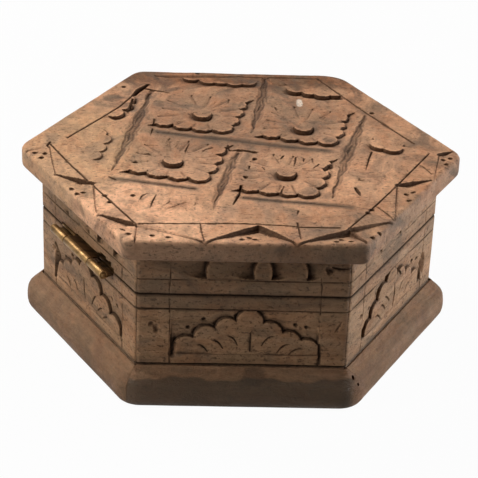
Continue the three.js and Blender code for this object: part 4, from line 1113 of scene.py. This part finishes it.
# ---------------------------------------------------------------- hinge
# A small pressed brass butt hinge on the front-left side: two leaves rolled round a brass pin in three knuckles,
# each leaf let into its board and held by two countersunk screws. The brass has gone golden brown.
HINGE_TURN = 5
brass_finish = metal_finish("old_brass", (0.36, 0.22, 0.095), (0.15, 0.085, 0.035), rough=0.42, patch=1.6,
                            turn=HINGE_TURN * SIXTH)
# A dark copy of the brass: painted shade for the straps and the sheet in the shadow of the barrel and the lid, with
# tarnish.
shaded_brass = metal_finish("shaded_brass", (0.13, 0.07, 0.03), (0.035, 0.02, 0.012), rough=0.5, patch=1.6,
                          turn=HINGE_TURN * SIXTH)
KNUCKLE, SHEET, PIN = 1.05, 0.4, 0.62       # outer radius of a knuckle, thickness of a leaf, radius of the pin
KNUCKLE_GAP, CURL = 0.28, 5.2           # mm between the knuckles, and how far a strap curls round the pin in radians


def rolled_leaf(name, level, upward, spans, lip=None):
    """A sheet let into the board, with straps that are rolled round the pin, and a lip that stands proud between."""
    roll = KNUCKLE - SHEET / 2
    parts = []
    flat_part = [(OUTER + 6.0, level), (OUTER + 3.0, level), (OUTER + 0.25, level)]
    start = AXIS_Z + roll * upward
    rise = np.linspace(0, 1, 7)
    slope = [(OUTER + 0.25 + (AXIS_Y - OUTER - 0.25) * t, level + (start - level) * t * t * (3 - 2 * t)) for t in rise]
    curl = [(AXIS_Y - roll * math.sin(a), AXIS_Z + upward * roll * math.cos(a)) for a in np.linspace(0, CURL, 34)[1:]]
    lips = [(*lip, [(OUTER + 0.5, level), (OUTER + 0.1, level), (OUTER - 0.3, level)])] if lip else []
    for low, high, path in [(HINGE_LEFT, HINGE_RIGHT, flat_part)] + [(*span, slope + curl) for span in spans] + lips:
        sheet = new_mesh(bpy.ops.mesh.primitive_grid_add, x_subdivisions=2, y_subdivisions=len(path) - 1, size=1)
        across = np.tile(np.linspace(low, high, 3), len(path))
        y, z = np.repeat(np.array(path), 3, axis=0).T
        move_points(sheet, turned_about(np.stack([across, y, z], 1), HINGE_TURN))
        shape_with(sheet, "SOLIDIFY", thickness=SHEET * MM, offset=0)
        shape_with(sheet, "BEVEL", width=0.09 * MM, segments=2, limit_method="ANGLE", angle_limit=math.radians(50))
        parts.append(sheet)
    make_active(parts[0])
    for sheet in parts[1:]:
        sheet.select_set(True)
    bpy.ops.object.join()
    leaf = bpy.context.object
    leaf.name = leaf.data.name = name
    pick(leaf)
    face_outwards()
    finish_edges(leaf, angle=35)
    # The knuckles are handled and stay bright; the straps and the sheet behind them are painted nearly black, as
    # painted shade with some tarnish.
    paint(leaf, brass_finish, shaded_brass)
    places = points_of(leaf) @ np.array(Matrix.Rotation(-HINGE_TURN * SIXTH, 3, "Z")).T
    for face in leaf.data.polygons:
        middle = places[list(face.vertices)].mean(0) / MM
        near_edge = middle[1] < OUTER and middle[0] < MIDDLE[0]
        face.material_index = int(np.hypot(middle[1] - AXIS_Y, middle[2] - AXIS_Z) > KNUCKLE + 0.12 and not near_edge)
    return leaf


body_leaf = rolled_leaf("hinge_leaf_on_body", BODY_TOP - 0.4, -1,
                        [(HINGE_LEFT, MIDDLE[0] - KNUCKLE_GAP), (MIDDLE[1] + KNUCKLE_GAP, HINGE_RIGHT)])
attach(body_leaf, "box")
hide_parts("hinge_leaf_body")
lid_leaf = rolled_leaf("hinge_leaf_on_lid", RIM_BOTTOM + 0.4, 1, [MIDDLE], (HINGE_LEFT + 0.5, MIDDLE[0]))
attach(lid_leaf, "lid")
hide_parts("hinge_leaf_lid")

pin = barrel(PIN, HINGE_RIGHT - HINGE_LEFT + 0.4, 28, HINGE_TURN, "hinge_brass_pin")
shape_with(pin, "BEVEL", width=0.25 * MM, segments=3, limit_method="ANGLE")
finish_edges(pin)
paint(pin, brass_finish)
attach(pin, "box")
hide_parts("hinge_pin")
for leaf in ("body", "lid"):
    for number in (1, 2):
        paint(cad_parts[f"hinge_screw_{leaf}_{number}"], steel_finish)

# ---------------------------------------------------------------- studio
# Nothing here belongs to the box: a matt floor and a backdrop that show white to the camera, three soft lamps, and
# a camera with a long lens that looks down on the front of the box.
floor = new_mesh(bpy.ops.mesh.primitive_plane_add, "floor", size=4, location=(0, 0, -0.0001))
floor_finish, tree, shader = new_material("pale_floor")
seen = add_node(tree, "LightPath").outputs
backdrop = add_node(tree, "Math", {"operation": "MAXIMUM"}, _0=seen["Is Camera Ray"], _1=seen["Is Glossy Ray"])
share = add_node(tree, "Math", {"operation": "MULTIPLY"}, _0=backdrop.outputs[0], _1=0.97)
matt = add_node(tree, "BsdfDiffuse", Color=(0.38, 0.38, 0.38, 1))
lit = add_node(tree, "Emission", Color=(1, 1, 1, 1))
laid = add_node(tree, "MixShader", _0=share.outputs[0], _1=matt.outputs[0], _2=lit.outputs[0])
tree.links.new(laid.outputs[0], tree.nodes["Material Output"].inputs["Surface"])
tree.nodes.remove(shader)
paint(floor, floor_finish)

world = bpy.data.worlds.new("studio")
bpy.context.scene.world = world
world.use_nodes = True
tree = world.node_tree
seen = add_node(tree, "LightPath").outputs
backdrop = add_node(tree, "Math", {"operation": "MAXIMUM"}, _0=seen["Is Camera Ray"], _1=seen["Is Transmission Ray"])
power = add_node(tree, "MapRange", Value=backdrop.outputs[0], To_Min=0.04, To_Max=1.0)
tree.links.new(power.outputs[0], tree.nodes["Background"].inputs["Strength"])
tree.nodes["Background"].inputs["Color"].default_value = (1, 1, 1, 1)

# Each lamp: its place, width, power and colour. They all face the middle of the box.
MIDDLE_HEIGHT = 0.03
LAMPS = [
    ("key", (-0.38, 0.34, 0.55), 0.34, 5.6, (1.0, 0.97, 0.93)),
    ("right", (0.62, 0.12, 0.16), 0.3, 4.2, (0.93, 1.0, 1.04)),
    ("left", (-0.6, -0.28, 0.34), 0.3, 2.7, (0.97, 1.0, 0.97)),
]
for name, spot, size, watts, colour in LAMPS:
    lamp_data = bpy.data.lights.new(name, "AREA")
    lamp_data.shape, lamp_data.size, lamp_data.energy, lamp_data.color = "DISK", size, watts, colour
    lamp = bpy.data.objects.new(name, lamp_data)
    bpy.context.scene.collection.objects.link(lamp)
    lamp.location = spot
    aim = lamp.location.copy()
    aim.z -= MIDDLE_HEIGHT
    lamp.rotation_mode = "QUATERNION"
    lamp.rotation_quaternion = aim.to_track_quat("Z", "Y")

# The camera's focal length in mm, its place, and its azimuth, elevation and roll in degrees.
LENS, CAMERA_SPOT, CAMERA_TURNS = 137.987, (-0.01568281, -0.39327706, 0.23501085), (-2.308364, 28.674589, 2.314913)
camera_data = bpy.data.cameras.new("camera")
camera_data.sensor_width, camera_data.lens = 36.0, LENS
camera = bpy.data.objects.new("camera", camera_data)
bpy.context.scene.collection.objects.link(camera)
azimuth, elevation, roll = (math.radians(angle) for angle in CAMERA_TURNS)
camera.matrix_world = (Matrix.Translation(CAMERA_SPOT) @ Matrix.Rotation(azimuth, 4, "Z")
                       @ Matrix.Rotation(math.pi / 2 - elevation, 4, "X") @ Matrix.Rotation(roll, 4, "Z"))
camera_data.clip_start, camera_data.clip_end = 0.01, 20
bpy.context.scene.camera = camera
bpy.context.scene.view_settings.view_transform = "Standard"
